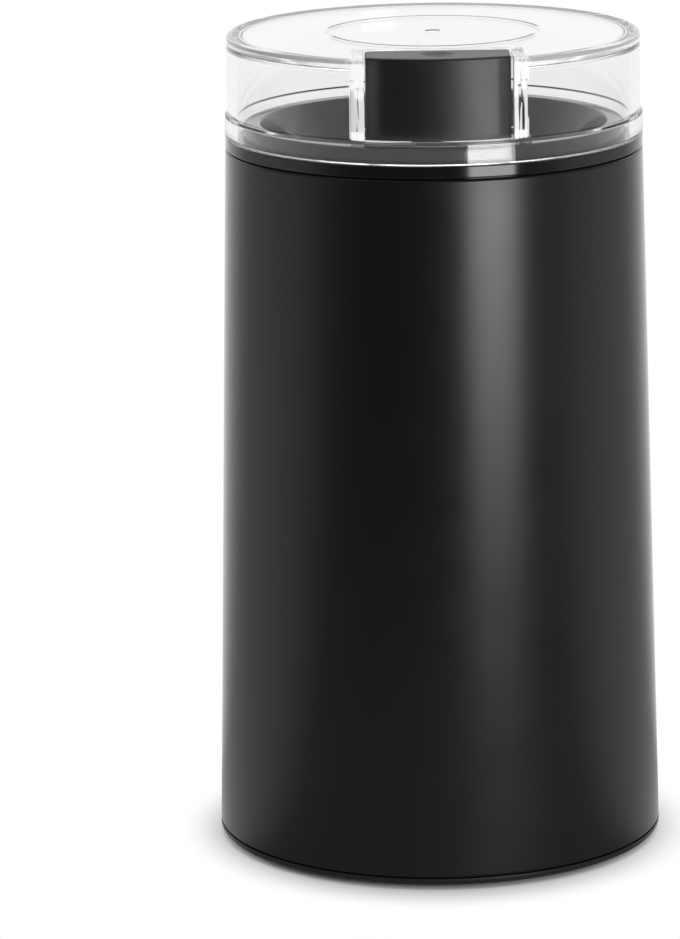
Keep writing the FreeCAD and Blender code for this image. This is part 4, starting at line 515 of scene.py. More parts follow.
@dataclass(frozen=True)
class ClearFinish(Finish):
    """Clear plastic that bends light and lets lamps through, with painted highlights at its moulded edges.

    The painted highlights are white zones on Object coordinates: the plate's rim, the ledge over the
    skirt, and the walls of the pocket, in streaks. There transmission gives way to white diffuse.
    """

    # Painted highlight zones: each place is followed by the strength of its painted white.
    rim: tuple[float, float] = (41.2 * MM, 167.6 * MM)
    rim_painted_highlight: float = 0.38
    ledge: tuple[float, float, float] = (43.0 * MM, 152.55 * MM, 153.4 * MM)
    ledge_painted_highlight: float = 0.85
    pocket: tuple[float, float, float] = (14.6 * MM, 17.5 * MM, -30.0 * MM)
    pocket_painted_highlight: float = 0.62
    streak_scale: float = 1500.0
    streak_stretch: Rgb = (1, 1, 0.06)
    streak_level: float = 0.44
    fade: float = 0.12 * MM
    shadow: Rgb = (0.95, 0.95, 0.95)

    def above(self, tree: Tree, value: Value, level: float) -> Socket:
        """Share from 0 to 1 of a value being above a level."""
        return eased(tree, value, (level - self.fade, level + self.fade))

    def below(self, tree: Tree, value: Value, level: float) -> Socket:
        """Share from 0 to 1 of a value being below a level."""
        return eased(tree, value, (level + self.fade, level - self.fade))

    def painted_highlight_share(self, tree: Tree) -> Socket:
        """Painted highlight at each point, as a share of white diffuse: the most of its three zones."""
        place = node(tree, "TexCoord").outputs["Object"]
        parts = node(tree, "SeparateXYZ", {0: place}).outputs
        radius, height = length_of(tree, place, (1, 1, 0)), parts["Z"]
        side = node(tree, "Math", {0: parts["X"]}, operation="ABSOLUTE").outputs[0]
        streaks = self.noise(tree, self.stretched(tree, place, self.streak_stretch), self.streak_scale, 2.0)
        # Painted highlights on the plate's rim, on the ledge over the skirt and on the streaked pocket
        # walls.
        rim = joined(
            tree, "MULTIPLY", self.above(tree, radius, self.rim[0]), self.above(tree, height, self.rim[1]),
            self.rim_painted_highlight,
        )
        ledge = joined(
            tree, "MULTIPLY", self.above(tree, radius, self.ledge[0]),
            self.above(tree, height, self.ledge[1]), self.below(tree, height, self.ledge[2]),
            self.ledge_painted_highlight,
        )
        pocket = joined(
            tree, "MULTIPLY", self.above(tree, side, self.pocket[0]),
            self.below(tree, side, self.pocket[1]), self.below(tree, parts["Y"], self.pocket[2]),
            self.above(tree, height, self.ledge[2]),
            self.above(tree, streaks, self.streak_level), self.pocket_painted_highlight,
        )
        return joined(tree, "MAXIMUM", rim, ledge, pocket)

    def surface(self, tree: Tree) -> Socket:
        """The clear shader with its painted highlights, and a Transparent one for rays from lamps."""
        shader = self.shader(tree)
        # Painted highlight: transmission drops where the zones are white, so the white base colour shows as
        # diffuse.
        clear = joined(tree, "SUBTRACT", 1.0, self.painted_highlight_share(tree))
        tree.links.new(clear, shader.inputs["Transmission Weight"])
        through = node(tree, "BsdfTransparent", {"Color": (*self.shadow, 1)}).outputs[0]
        return mixed(tree, node(tree, "LightPath").outputs["Is Shadow Ray"], shader.outputs[0], through)


FINISHES = {
    finish.name: finish
    for finish in (
        Finish("satin_body", (0.0036, 0.0032, 0.0031), (0.0046, 0.0041, 0.0040), (0.27, 0.31),
               grain_scale=5200, grain_depth=8e-6, grain_strength=0.10, patch_scale=40, rim_gloss=0.6),
        Finish("base_black", (0.006, 0.006, 0.006), (0.009, 0.009, 0.009), (0.34, 0.42),
               grain_scale=3800, grain_depth=1e-5, grain_strength=0.2),
        Finish("gloss_ring", (0.004, 0.004, 0.004), (0.005, 0.005, 0.005), (0.10, 0.13),
               grain=Grain.CAST, grain_scale=220, grain_depth=2e-6, grain_strength=0.05),
        Finish("satin_button", (0.0065, 0.006, 0.006), (0.008, 0.0075, 0.0075), (0.36, 0.40),
               grain_scale=5200, grain_depth=8e-6, grain_strength=0.12, patch_scale=60),
        Finish("bowl_steel", (0.62, 0.61, 0.59), (0.70, 0.69, 0.67), (0.16, 0.26), 1.0,
               Grain.TURNED, 2600, 6e-6, 0.35),
        Finish("blade_steel", (0.60, 0.60, 0.60), (0.70, 0.70, 0.70), (0.14, 0.24), 1.0,
               Grain.BRUSHED, 5200, 5e-6, 0.3),
        Finish("shaft_steel", (0.56, 0.56, 0.57), (0.66, 0.66, 0.67), (0.14, 0.24), 1.0,
               Grain.TURNED, 3000, 4e-6, 0.25),
        Finish("soft_rubber", (0.012, 0.012, 0.013), (0.020, 0.020, 0.021), (0.60, 0.75),
               grain_scale=2600, grain_depth=2e-5, grain_strength=0.3, sheen=0.15),
        Finish("moulded_nylon", (0.05, 0.052, 0.055), (0.065, 0.067, 0.07), (0.38, 0.5),
               grain_scale=3000, grain_depth=1e-5, grain_strength=0.25),
        Finish("lamination_steel", (0.28, 0.28, 0.29), (0.36, 0.35, 0.35), (0.32, 0.46), 1.0,
               Grain.LAYERED, 320, 4e-5, 0.6),
        Finish("copper_wire", (0.62, 0.20, 0.07), (0.74, 0.28, 0.10), (0.16, 0.28), 0.9,
               Grain.CAST, 900, 2e-5, 0.3, coat=0.6, coat_rough=0.08),
        Finish("copper_bar", (0.78, 0.38, 0.22), (0.66, 0.28, 0.15), (0.2, 0.34), 1.0,
               Grain.TURNED, 3000, 6e-6, 0.4),
        Finish("bronze", (0.54, 0.34, 0.15), (0.44, 0.27, 0.12), (0.32, 0.46), 1.0,
               Grain.CAST, 4200, 1e-5, 0.35),
        Finish("brass_sheet", (0.74, 0.52, 0.22), (0.66, 0.45, 0.18), (0.2, 0.32), 1.0,
               Grain.BRUSHED, 3600, 6e-6, 0.3),
        Finish("carbon", (0.018, 0.018, 0.02), (0.03, 0.03, 0.032), (0.45, 0.6),
               grain=Grain.CAST, grain_scale=3600, grain_depth=2e-5, grain_strength=0.4),
        Finish("spring_steel", (0.50, 0.50, 0.50), (0.60, 0.60, 0.60), (0.2, 0.32), 1.0,
               Grain.BRUSHED, 4200, 4e-6, 0.3),
        Finish("switch_plastic", (0.025, 0.025, 0.027), (0.035, 0.035, 0.037), (0.32, 0.42),
               grain_scale=3200, grain_depth=1e-5, grain_strength=0.2),
        Finish("plunger_plastic", (0.55, 0.10, 0.05), (0.62, 0.13, 0.07), (0.28, 0.38),
               grain_scale=3200, grain_depth=8e-6, grain_strength=0.15),
        Finish("zinc_screw", (0.52, 0.53, 0.55), (0.64, 0.65, 0.66), (0.24, 0.38), 1.0,
               Grain.CAST, 2400, 8e-6, 0.35),
        Finish("capacitor_case", (0.55, 0.38, 0.05), (0.60, 0.43, 0.07), (0.28, 0.38),
               grain_scale=2400, grain_depth=1e-5, grain_strength=0.2),
        Finish("lead_insulation", (0.30, 0.018, 0.014), (0.36, 0.025, 0.02), (0.36, 0.46),
               grain_scale=2400, grain_depth=1e-5, grain_strength=0.2),
        # Base colour: the tint of the clear plastic, and the white of its painted highlights.
        ClearFinish("clear_lid", (0.958, 0.958, 0.957), (0.953, 0.953, 0.951), (0.0, 0.012),
                    grain=Grain.PLAIN, ior=1.46),
    )
}


class Dresser:
    """Builds each finish once and gives it to pieces and carried-over CAD nodes."""

    def __init__(self) -> None:
        """Starts with no material built."""
        self.built: dict[str, bpy.types.Material] = {}

    def material(self, name: str) -> bpy.types.Material:
        """The material of a slot, built on its first use."""
        if name not in self.built:
            self.built[name] = FINISHES[name].build()
        return self.built[name]

    def paint(self, obj: Object, slot: str) -> None:
        """Gives an object the finish of a slot as its only material."""
        obj.data.materials.clear()
        obj.data.materials.append(self.material(slot))

    def piece(self, obj: Object, body: str, slot: str, *nodes: str) -> Object:
        """Dresses a new piece, lets it ride on its body and stand for CAD nodes.

        Args:
            obj: The piece.
            body: The CAD body that it moves with.
            slot: Its finish and material slot.
            nodes: The CAD nodes that it replaces.

        Returns:
            The piece.
        """
        self.paint(obj, slot)
        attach(obj, body)
        if nodes:
            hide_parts(*nodes)
        LOG.info("%s rides on %s with %d faces", obj.name, body, len(obj.data.polygons))
        return obj

    def carried(self, slots: dict[str, str], shown: dict[str, Object]) -> None:
        """Gives every CAD node that is still shown its finish.

        Args:
            slots: Material slot of each node.
            shown: The CAD nodes by name.
        """
        for name, obj in shown.items():
            if not obj.hide_render:
                self.paint(obj, slots[name])


# ---------------------------------------------------------------- the grinder


@dataclass
class OuterCone:
    """The one cone on which housing, shoulder and lid lie: radius falls with height."""

    base_radius: float = 46.4 * MM
    base_level: float = 0.8 * MM
    lean: float = 1.365

    def radius(self, level: float) -> float:
        """Outer radius at a height."""
        return self.base_radius - (level - self.base_level) * math.tan(math.radians(self.lean))


@dataclass
class Housing:
    """Tapered satin tube with ledges and screw bosses inside, and the inlet's notch."""

    cone: OuterCone
    bottom: float = 2.45 * MM
    top: float = 145.85 * MM
    wall: float = 2.2 * MM
    edge: float = 0.6 * MM
    ledge_top: float = 95.75 * MM
    ledge_depth: float = 14.0 * MM
    ledge_half: float = 4.5 * MM
    post_circle: float = 37.198 * MM
    post_radius: float = 2.5 * MM
    head_hole: float = 2.7 * MM
    boss_circle: float = 39.0 * MM
    boss_radius: float = 3.4 * MM
    boss_low: float = 5.0 * MM
    boss_high: float = 23.0 * MM
    web_low: float = 9.6 * MM
    hole: float = 1.3 * MM
    hole_depth: float = 15.6 * MM
    notch_half: float = 5.4 * MM
    notch_top: float = 19.4 * MM

    def outline(self) -> Points:
        """Section: outer cone with two rounded edges, inner cone parallel to it."""
        cone = self.cone
        return softened([
            (cone.radius(self.bottom) - self.wall, self.bottom, 0.0),
            (cone.radius(self.bottom), self.bottom, self.edge),
            (cone.radius(self.top), self.top, self.edge),
            (cone.radius(self.top) - self.wall, self.top, 0.0),
        ], support=0.15 * MM, steps=7)

    def inner_forms(self) -> list[tuple[Carve, Mesh]]:
        """Ledges with screw-head holes, screw bosses with webs and bores, and the notch."""
        ledge_outer = self.cone.radius(self.ledge_top) - self.wall / 2
        ledge = prism(
            box_outline(
                -self.ledge_half, self.post_circle - self.post_radius, self.ledge_half, ledge_outer,
            ),
            self.ledge_top - self.ledge_depth, self.ledge_top,
        )
        clear = 1.0 * MM
        head = peg(
            (0, self.post_circle), self.head_hole,
            self.ledge_top - self.ledge_depth - clear, self.ledge_top + clear,
        )
        boss = peg((0, -self.boss_circle), self.boss_radius, self.boss_low, self.boss_high, 30)
        web_half = self.boss_radius / 2
        web_outer = self.cone.radius(self.boss_high) - self.wall / 2
        web = prism(
            box_outline(-web_half, -web_outer, web_half, -self.boss_circle), self.web_low, self.boss_high,
        )
        bore = peg((0, -self.boss_circle), self.hole, self.boss_low - clear, self.boss_low + self.hole_depth)
        notch = prism(
            box_outline(-self.notch_half, self.post_circle, self.notch_half, self.cone.base_radius + clear),
            -clear, self.notch_top,
        )
        steps = (
            (Carve.ADD, ledge), (Carve.CUT, head), (Carve.ADD, web), (Carve.ADD, boss), (Carve.CUT, bore),
        )
        return [(action, form) for action, mesh in steps for form in thirds(mesh)] + [(Carve.CUT, notch)]

    def build(self, dresser: Dresser) -> None:
        """Makes the shell and dresses it."""
        shell = new_object("housing", turned(self.outline(), 256))
        carved(shell, self.inner_forms())
        shaded(shell)
        dresser.piece(shell, "base", "satin_body", "housing_shell")


@dataclass
class TopRing:
    """Glossy shoulder, collar and funnel, with the button's guide and the carrier's posts."""

    cone: OuterCone
    housing_top: float = 145.85 * MM
    shoulder_bottom: float = 146.1 * MM
    shoulder_top: float = 148.55 * MM
    collar_top: float = 151.65 * MM
    collar: float = 39.297 * MM
    mouth: float = 35.597 * MM
    funnel: float = 31.047 * MM
    funnel_bottom: float = 137.45 * MM
    flange: float = 2.8 * MM
    funnel_wall: float = 1.5 * MM
    housing_wall: float = 2.2 * MM
    fit: float = 0.3 * MM
    spigot_wall: float = 1.6 * MM
    spigot_depth: float = 6.0 * MM
    seam_depth: float = 1.0 * MM
    lip: float = 0.6 * MM
    shoulder_edge: float = 0.25 * MM
    guide_half: float = 14.75 * MM
    guide_back: float = 25.43 * MM
    guide_front: float = 38.397 * MM
    guide_wall: float = 1.4 * MM
    guide_floor: float = 144.45 * MM
    guide_floor_top: float = 146.05 * MM
    stem: tuple[float, float, float, float] = (4.7 * MM, -37.397 * MM, 8.3 * MM, -35.197 * MM)
    pin: tuple[float, float] = (16.932 * MM, -33.232 * MM)
    pin_hole: float = 1.35 * MM
    post_circle: float = 37.198 * MM
    post_radius: float = 2.5 * MM
    post_hole: float = 1.3 * MM
    post_bottom: float = 100.25 * MM
    post_hole_depth: float = 18.0 * MM

    def outline(self) -> Points:
        """Section: from the seam's land up the shoulder, over the collar, down the funnel and back."""
        cone = self.cone
        spigot = cone.radius(self.housing_top) - self.housing_wall - self.fit
        spigot_low = self.housing_top - self.spigot_depth
        land = cone.radius(self.shoulder_bottom) - self.seam_depth
        edge, lip = self.shoulder_edge, self.lip
        return softened([
            (cone.radius(self.shoulder_bottom), self.shoulder_bottom, edge),
            (cone.radius(self.shoulder_top), self.shoulder_top, edge),
            (self.collar, self.shoulder_top, 0.0),
            (self.collar, self.collar_top, lip),
            (self.mouth, self.collar_top, lip),
            (self.funnel, self.funnel_bottom, 0.0),
            (self.funnel + self.flange, self.funnel_bottom, 0.0),
            (self.funnel + self.flange, self.funnel_bottom + self.funnel_wall, 0.0),
            (self.mouth + self.funnel_wall / 2, self.housing_top, 0.0),
            (spigot - self.spigot_wall, self.housing_top, 0.0),
            (spigot - self.spigot_wall, spigot_low, 0.0),
            (spigot, spigot_low, 0.0),
            (spigot, self.housing_top, 0.0),
            (land, self.housing_top, 0.0),
            (land, self.shoulder_bottom, 0.0),
        ], support=0.05 * MM, steps=7)[::-1]

    def details(self) -> list[tuple[Carve, Mesh]]:
        """Guide with its hollow, the stem's slot, the pin's hole, and the posts with their bores."""
        clear = 1.0 * MM
        wall = self.guide_wall
        spigot_low = self.housing_top - self.spigot_depth
        guide = prism(
            tower_outline(self.guide_half + wall, self.guide_back - wall, self.collar - wall / 2),
            self.guide_floor, self.collar_top,
        )
        hollow = prism(
            tower_outline(self.guide_half, self.guide_back, self.guide_front),
            self.guide_floor_top, self.collar_top + clear,
        )
        slot = prism(box_outline(*self.stem), spigot_low - clear, self.guide_floor_top + clear)
        pin = peg(self.pin, self.pin_hole, spigot_low - clear, self.collar_top + clear)
        post = peg((0, self.post_circle), self.post_radius, self.post_bottom, self.shoulder_bottom)
        bore = peg(
            (0, self.post_circle), self.post_hole,
            self.post_bottom - clear, self.post_bottom + self.post_hole_depth, 18,
        )
        return (
            [(Carve.ADD, guide), (Carve.CUT, hollow), (Carve.CUT, slot), (Carve.CUT, pin)]
            + [(Carve.ADD, form) for form in thirds(post)]
            + [(Carve.CUT, form) for form in thirds(bore)]
        )

    def build(self, dresser: Dresser) -> None:
        """Makes the ring and dresses it."""
        ring = new_object("shoulder_ring", turned(self.outline(), 256))
        carved(ring, self.details())
        shaded(ring)
        dresser.piece(ring, "base", "gloss_ring", "top_ring")


@dataclass
class Lid:
    """Clear lid: skirt band, wall, top plate with a round line, and the pocket round the button."""

    cone: OuterCone
    bottom: float = 148.6 * MM
    top: float = 169.45 * MM
    notch_bottom: float = 153.25 * MM
    wall: float = 2.5 * MM
    plate: float = 2.2 * MM
    proud: float = 0.15 * MM
    ledge: float = 0.45 * MM
    edge: float = 1.0 * MM
    pocket_half: float = 14.85 * MM
    pocket_back: float = 25.33 * MM
    pocket_wall: float = 2.35 * MM
    line_radius: float = 21.6 * MM
    line_half: float = 0.75 * MM
    line_depth: float = 0.03 * MM
    gate_radius: float = 1.5 * MM
    gate_depth: float = 0.12 * MM

    def outline(self) -> Points:
        """Section from the gate mark out over the round line, down the wall and back inside."""
        cone, top, gate = self.cone, self.top, self.gate_depth
        inner = top - self.plate
        line, half = self.line_radius, self.line_half
        step = self.notch_bottom
        return softened([
            (0.0, inner, 0.0),
            (cone.radius(inner) - self.wall, inner, self.edge),
            (cone.radius(self.bottom) - self.wall, self.bottom, 0.2 * MM),
            (cone.radius(self.bottom) + self.proud, self.bottom, 0.2 * MM),
            (cone.radius(step) + self.proud, step - self.ledge, 0.25 * MM),
            (cone.radius(step) + self.proud - self.ledge, step, 0.1 * MM),
            (cone.radius(top), top, self.edge),
            (line + half, top, 0.2 * MM),
            (line, top - self.line_depth, 0.3 * MM),
            (line - half, top, 0.2 * MM),
            (self.gate_radius + gate, top, 0.1 * MM),
            (self.gate_radius - gate, top - gate, 0.1 * MM),
            (0.0, top - gate, 0.0),
        ], support=0.08 * MM, steps=8)

    def details(self) -> list[tuple[Carve, Mesh]]:
        """Walls of the pocket, then the notch that opens it to the front and the top."""
        front = self.cone.radius(self.top) - self.wall / 2
        walls = prism(
            tower_outline(self.pocket_half + self.pocket_wall, self.pocket_back - self.pocket_wall, front),
            self.notch_bottom, self.top - self.plate / 2,
        )
        notch = prism(
            box_outline(-self.pocket_half, -self.cone.base_radius, self.pocket_half, -self.pocket_back),
            self.notch_bottom, self.top + self.plate,
        )
        return [(Carve.ADD, walls), (Carve.CUT, notch)]

    def build(self, dresser: Dresser) -> None:
        """Makes the lid and dresses it."""
        lid = new_object("clear_cover", turned(self.outline(), 256))
        carved(lid, self.details())
        bevelled(lid, 0.22 * MM, segments=3)
        shaded(lid, 14)
        dresser.piece(lid, "lid", "clear_lid", "lid")


@dataclass
class PushButton:
    """Satin block with softened edges, a finger dimple, a hollow and the stem below."""

    bottom: float = 149.35 * MM
    top: float = 169.25 * MM
    half: float = 14.45 * MM
    back: float = 25.723 * MM
    front: float = 38.097 * MM
    lean: float = 1.365
    edge: float = 0.5 * MM
    wall: float = 1.8 * MM
    dimple: float = 3.7 * MM
    dimple_depth: float = 0.6 * MM
    stem: tuple[float, float, float, float] = (5.0 * MM, -37.097 * MM, 8.0 * MM, -35.497 * MM)
    stem_bottom: float = 126.45 * MM
    count: int = 160

    def footprint(self, inset: float, drop: float) -> Points:
        """Outline of the block: a rounded box with a round front, sampled evenly along its length.

        Args:
            inset: How far inside the block's own outline.
            drop: How much the front has leaned back.

        Returns:
            The same number of points for every inset, anticlockwise from the middle of the back.
        """
        half, back, front = self.half - inset, self.back + inset, self.front - drop - inset
        angle = math.asin(half / front)
        corner = max(self.edge - inset, 0.02 * MM)
        bow = arc((0, 0), front, math.degrees(-math.pi / 2 - angle), math.degrees(-math.pi / 2 + angle), 41)
        rows = [(x, y, corner if index in (0, 40) else 0.0) for index, (x, y) in enumerate(bow)]
        rows += [(half, -back, corner / 2), (0.0, -back, 0.0), (-half, -back, corner / 2)]
        line = softened(rows, steps=5)
        start = int(np.argmin(np.abs(line[:, 0]) + 10 * np.abs(line[:, 1] + back)))
        line = np.roll(line, -start, axis=0)
        closed = np.vstack([line, line[:1]])
        length = np.concatenate([[0], np.cumsum(np.linalg.norm(np.diff(closed, axis=0), axis=1))])
        at = np.linspace(0, length[-1], self.count, endpoint=False)
        return np.column_stack([np.interp(at, length, closed[:, k]) for k in (0, 1)])

    def ring(self, inset: float, level: float) -> np.ndarray:
        """The footprint at a height, with the front leaned back as far as that height asks."""
        drop = (level - self.bottom) * math.tan(math.radians(self.lean))
        line = self.footprint(inset, drop)
        return np.column_stack([line, np.full(len(line), level)])

    def cap(self, rim: np.ndarray, level: float) -> np.ndarray:
        """Rings from the rim in to the dimple's circle and down its bowl to the middle.

        Between rim and circle a point is the weighted mean of the two; in the dimple the depth is
        that of a sphere's cap, depth times (1 - (r / R) squared).
        """
        middle = np.array([0.0, -(self.back + 5.95 * MM)])
        way = rim[:, :2] - middle
        way /= np.linalg.norm(way, axis=1)[:, None]
        circle = middle + way * self.dimple
        shares = np.array([0.03, 0.3, 0.6, 0.85, 0.97])
        flat = [
            np.column_stack([rim[:, :2] * (1 - s) + circle * s, np.full(len(rim), level)]) for s in shares
        ]
        reach = np.array([1.0, 0.97, 0.9, 0.8, 0.65, 0.5, 0.35, 0.2, 0.1, 0.0])
        bowl = [
            np.column_stack([
                middle + way * self.dimple * r,
                np.full(len(rim), level - self.dimple_depth * (1 - r * r)),
            ])
            for r in reach
        ]
        return np.stack(flat + bowl)

    def surface(self) -> Mesh:
        """Whole block as one grid: ceiling of the hollow, its walls, the rim and the outside."""
        ceiling = self.top - self.wall - self.dimple_depth
        inner_top = self.ring(self.wall, ceiling)
        middle = np.array([0.0, -(self.back + 5.95 * MM), ceiling])
        inside = [middle + (inner_top - middle) * s for s in (0.0, 0.5, 1.0)]
        inside.append(self.ring(self.wall, self.bottom))
        foot = [self.ring(0.0, self.bottom)]
        sides = [self.ring(0.0, z) for z in np.linspace(self.bottom, self.top - self.edge, 6)[1:]]
        turn = np.radians(np.linspace(0, 90, 8))[1:]
        over = [
            self.ring(self.edge * (1 - math.cos(t)), self.top - self.edge * (1 - math.sin(t))) for t in turn
        ]
        rows = np.concatenate([np.stack(inside + foot + sides + over), self.cap(over[-1], self.top)])
        return rows.reshape(-1, 3), grid_faces(len(rows), self.count, False, True)

    def build(self, dresser: Dresser) -> None:
        """Makes the block with its stem and dresses it."""
        block = new_object("button_block", self.surface())
        stem = prism(box_outline(*self.stem), self.stem_bottom, self.bottom + self.wall)
        carved(block, [(Carve.ADD, stem)])
        shaded(block, 32)
        dresser.piece(block, "button", "satin_button", "push_button")


@dataclass
class Bowl:
    """Spun steel bowl with a flange, a rounded bottom corner and a raised neck."""

    radius: float = 30.997 * MM
    wall: float = 0.7 * MM
    flange: float = 2.8 * MM
    flange_top: float = 136.65 * MM
    floor: float = 103.65 * MM
    corner: float = 7.0 * MM
    neck: float = 7.0 * MM
    neck_top: float = 106.65 * MM

    def outline(self) -> Points:
        """Section of the sheet: inside down the wall, round the corner to the neck, and back below."""
        radius, wall, low = self.radius, self.wall, self.floor - self.wall
        outer = radius + wall
        return softened([
            (radius, self.flange_top, 0.3 * MM),
            (radius, self.floor, self.corner),
            (self.neck, self.floor, 0.5 * MM),
            (self.neck, self.neck_top, 0.3 * MM),
            (self.neck - wall, self.neck_top, 0.1 * MM),
            (self.neck - wall, low, 0.1 * MM),
            (outer, low, self.corner + wall),
            (outer, self.flange_top - wall, 0.1 * MM),
            (outer + self.flange, self.flange_top - wall, 0.1 * MM),
            (outer + self.flange, self.flange_top, 0.1 * MM),
        ], support=0.2 * MM, steps=10)[::-1]

    def build(self, dresser: Dresser) -> None:
        """Makes the bowl and dresses it."""
        bowl = new_object("bowl", turned(self.outline(), 192))
        shaded(bowl, 35)
        dresser.piece(bowl, "base", "bowl_steel", "steel_bowl")


@dataclass
class BaseCover:
    """Base plate with its rounded foot rim, spigot, air slots, screw holes and clamp posts."""

    cone: OuterCone
    reach: float = 0.8 * MM
    rim_top: float = 2.33 * MM
    rim_edge: float = 1.15 * MM
    low: float = 2.6 * MM
    high: float = 5.0 * MM
    shell_bottom: float = 2.45 * MM
    seam_depth: float = 1.0 * MM
    spigot_top: float = 9.6 * MM
    spigot: float = 43.69 * MM
    spigot_wall: float = 1.6 * MM
    vent: tuple[float, float, float] = (14.0 * MM, 26.0 * MM, 1.2 * MM)
    vent_count: int = 16
    screw_circle: float = 39.0 * MM
    screw_hole: float = 1.45 * MM
    relief: float = 3.7 * MM
    inlet_half: float = 7.7 * MM
    inlet_front: float = 36.0 * MM
    post: tuple[float, float, float] = (8.0 * MM, 31.485 * MM, 2.6 * MM)
    post_top: float = 16.9 * MM
    post_hole: float = 1.3 * MM

    def outline(self) -> Points:
        """Section from the plate's middle out under the rim, up the spigot and back over the plate."""
        cone, inner = self.cone, self.spigot - self.spigot_wall
        land = cone.radius(self.shell_bottom) - self.seam_depth
        return softened([
            (0.0, self.low, 0.0),
            (inner, self.low, 0.3 * MM),
            (inner + (self.low - self.reach) / 2, self.reach, 0.3 * MM),
            (cone.radius(self.reach), self.reach, self.rim_edge),
            (cone.radius(self.rim_top), self.rim_top, 0.1 * MM),
            (land, self.rim_top, 0.0),
            (land, self.shell_bottom, 0.0),
            (self.spigot, self.shell_bottom, 0.0),
            (self.spigot, self.spigot_top, 0.2 * MM),
            (inner, self.spigot_top, 0.2 * MM),
            (inner, self.high, 0.2 * MM),
            (0.0, self.high, 0.0),
        ], support=0.1 * MM, steps=7)

    def details(self) -> list[tuple[Carve, Mesh]]:
        """Posts, then air slots with round ends, screw holes and the gaps in the spigot."""
        clear = 1.0 * MM
        inner, outer, half = self.vent
        slot = np.vstack([
            arc((outer - half, 0), half, -90, 90, 9), arc((inner + half, 0), half, 90, 270, 9),
        ])
        slots = [
            moved(prism(slot, self.low - clear, self.high + clear), 360 * k / self.vent_count)
            for k in range(self.vent_count)
        ]
        hole = peg((0, -self.screw_circle), self.screw_hole, self.low - clear, self.high + clear)
        gap = prism(
            box_outline(-self.relief, -self.cone.base_radius, self.relief, self.relief - self.screw_circle),
            self.high, self.spigot_top + clear,
        )
        inlet = prism(
            box_outline(-self.inlet_half, self.inlet_front, self.inlet_half, self.cone.base_radius),
            self.high, self.spigot_top + clear,
        )
        side, back, radius = self.post
        sides = (-side, side)
        posts = [peg((x, back), radius, (self.low + self.high) / 2, self.post_top, 30) for x in sides]
        bores = [peg((x, back), self.post_hole, self.high, self.post_top + clear) for x in sides]
        cuts = (bores, slots, thirds(hole), thirds(gap) + [inlet])
        return [(Carve.ADD, together(posts))] + [(Carve.CUT, together(group)) for group in cuts]

    def build(self, dresser: Dresser) -> None:
        """Makes the cover and dresses it."""
        cover = new_object("foot_cover", turned(self.outline(), 256))
        carved(cover, self.details())
        shaded(cover, 30)
        dresser.piece(cover, "base", "base_black", "base_cover")


@dataclass
class Feet:
    """Four rubber pads with rounded soles and a shallow hollow in each."""

    circle: float = 36.0 * MM
    radius: float = 5.0 * MM
    sole: float = 4.55 * MM
    height: float = 2.6 * MM
    hollow: float = 0.35 * MM
    count: int = 4

    def pad(self) -> Mesh:
        """One pad: its section turned about its own axis."""
        return turned(softened([
            (0.0, self.hollow, 0.0),
            (self.sole * 0.55, self.hollow, 0.3 * MM),
            (self.sole * 0.65, 0.0, 0.3 * MM),
            (self.sole, 0.0, 0.5 * MM),
            (self.radius, self.height, 0.1 * MM),
            (0.0, self.height, 0.0),
        ], support=0.05 * MM, steps=5), 48)

    def build(self, dresser: Dresser) -> None:
        """Makes the pads and dresses them."""
        pads = [
            moved(moved(self.pad(), 0, (self.circle, 0, 0)), 360 * (k + 0.5) / self.count)
            for k in range(self.count)
        ]
        feet = new_object("feet", together(pads))
        shaded(feet, 35)
        dresser.piece(feet, "base", "soft_rubber", "rubber_feet")


@dataclass
class CoverScrews:
    """Three pan-head screws with cross recesses, driven up into the housing's bosses."""

    circle: float = 39.0 * MM
    head: float = 2.4 * MM
    head_low: float = 1.0 * MM
    head_high: float = 2.6 * MM
    thread: float = 1.3 * MM
    thread_top: float = 14.0 * MM
    slot_half: float = 0.32 * MM
    slot_reach: float = 1.25 * MM
    slot_depth: float = 0.8 * MM

    def screw(self) -> Mesh:
        """Section of head and thread turned about the screw's axis."""
        return turned(softened([
            (0.0, self.head_low, 0.0),
            (self.head * 0.75, self.head_low, 0.2 * MM),
            (self.head, self.head_low + 0.6 * MM, 0.3 * MM),
            (self.head, self.head_high, 0.05 * MM),
            (self.thread, self.head_high, 0.0),
            (self.thread, self.thread_top, 0.2 * MM),
            (0.0, self.thread_top, 0.0),
        ], support=0.05 * MM, steps=5), 40)

    def build(self, dresser: Dresser) -> None:
        """Makes the screws with their recesses and dresses them."""
        low, high = self.head_low - self.slot_depth, self.head_low + self.slot_depth
        sizes = ((self.slot_reach, self.slot_half), (self.slot_half, self.slot_reach))
        bars = [prism(box_outline(-x, -y, x, y), low, high) for x, y in sizes]
        spots = [
            (self.circle * math.sin(math.radians(a)), -self.circle * math.cos(math.radians(a)), 0.0)
            for a in (0, 120, 240)
        ]
        screws = new_object("cover_screws", together([moved(self.screw(), 0, spot) for spot in spots]))
        carved(screws, [(Carve.CUT, together([moved(bar, 20, spot) for spot in spots])) for bar in bars])
        shaded(screws, 35)
        dresser.piece(screws, "base", "zinc_screw", "base_screws")


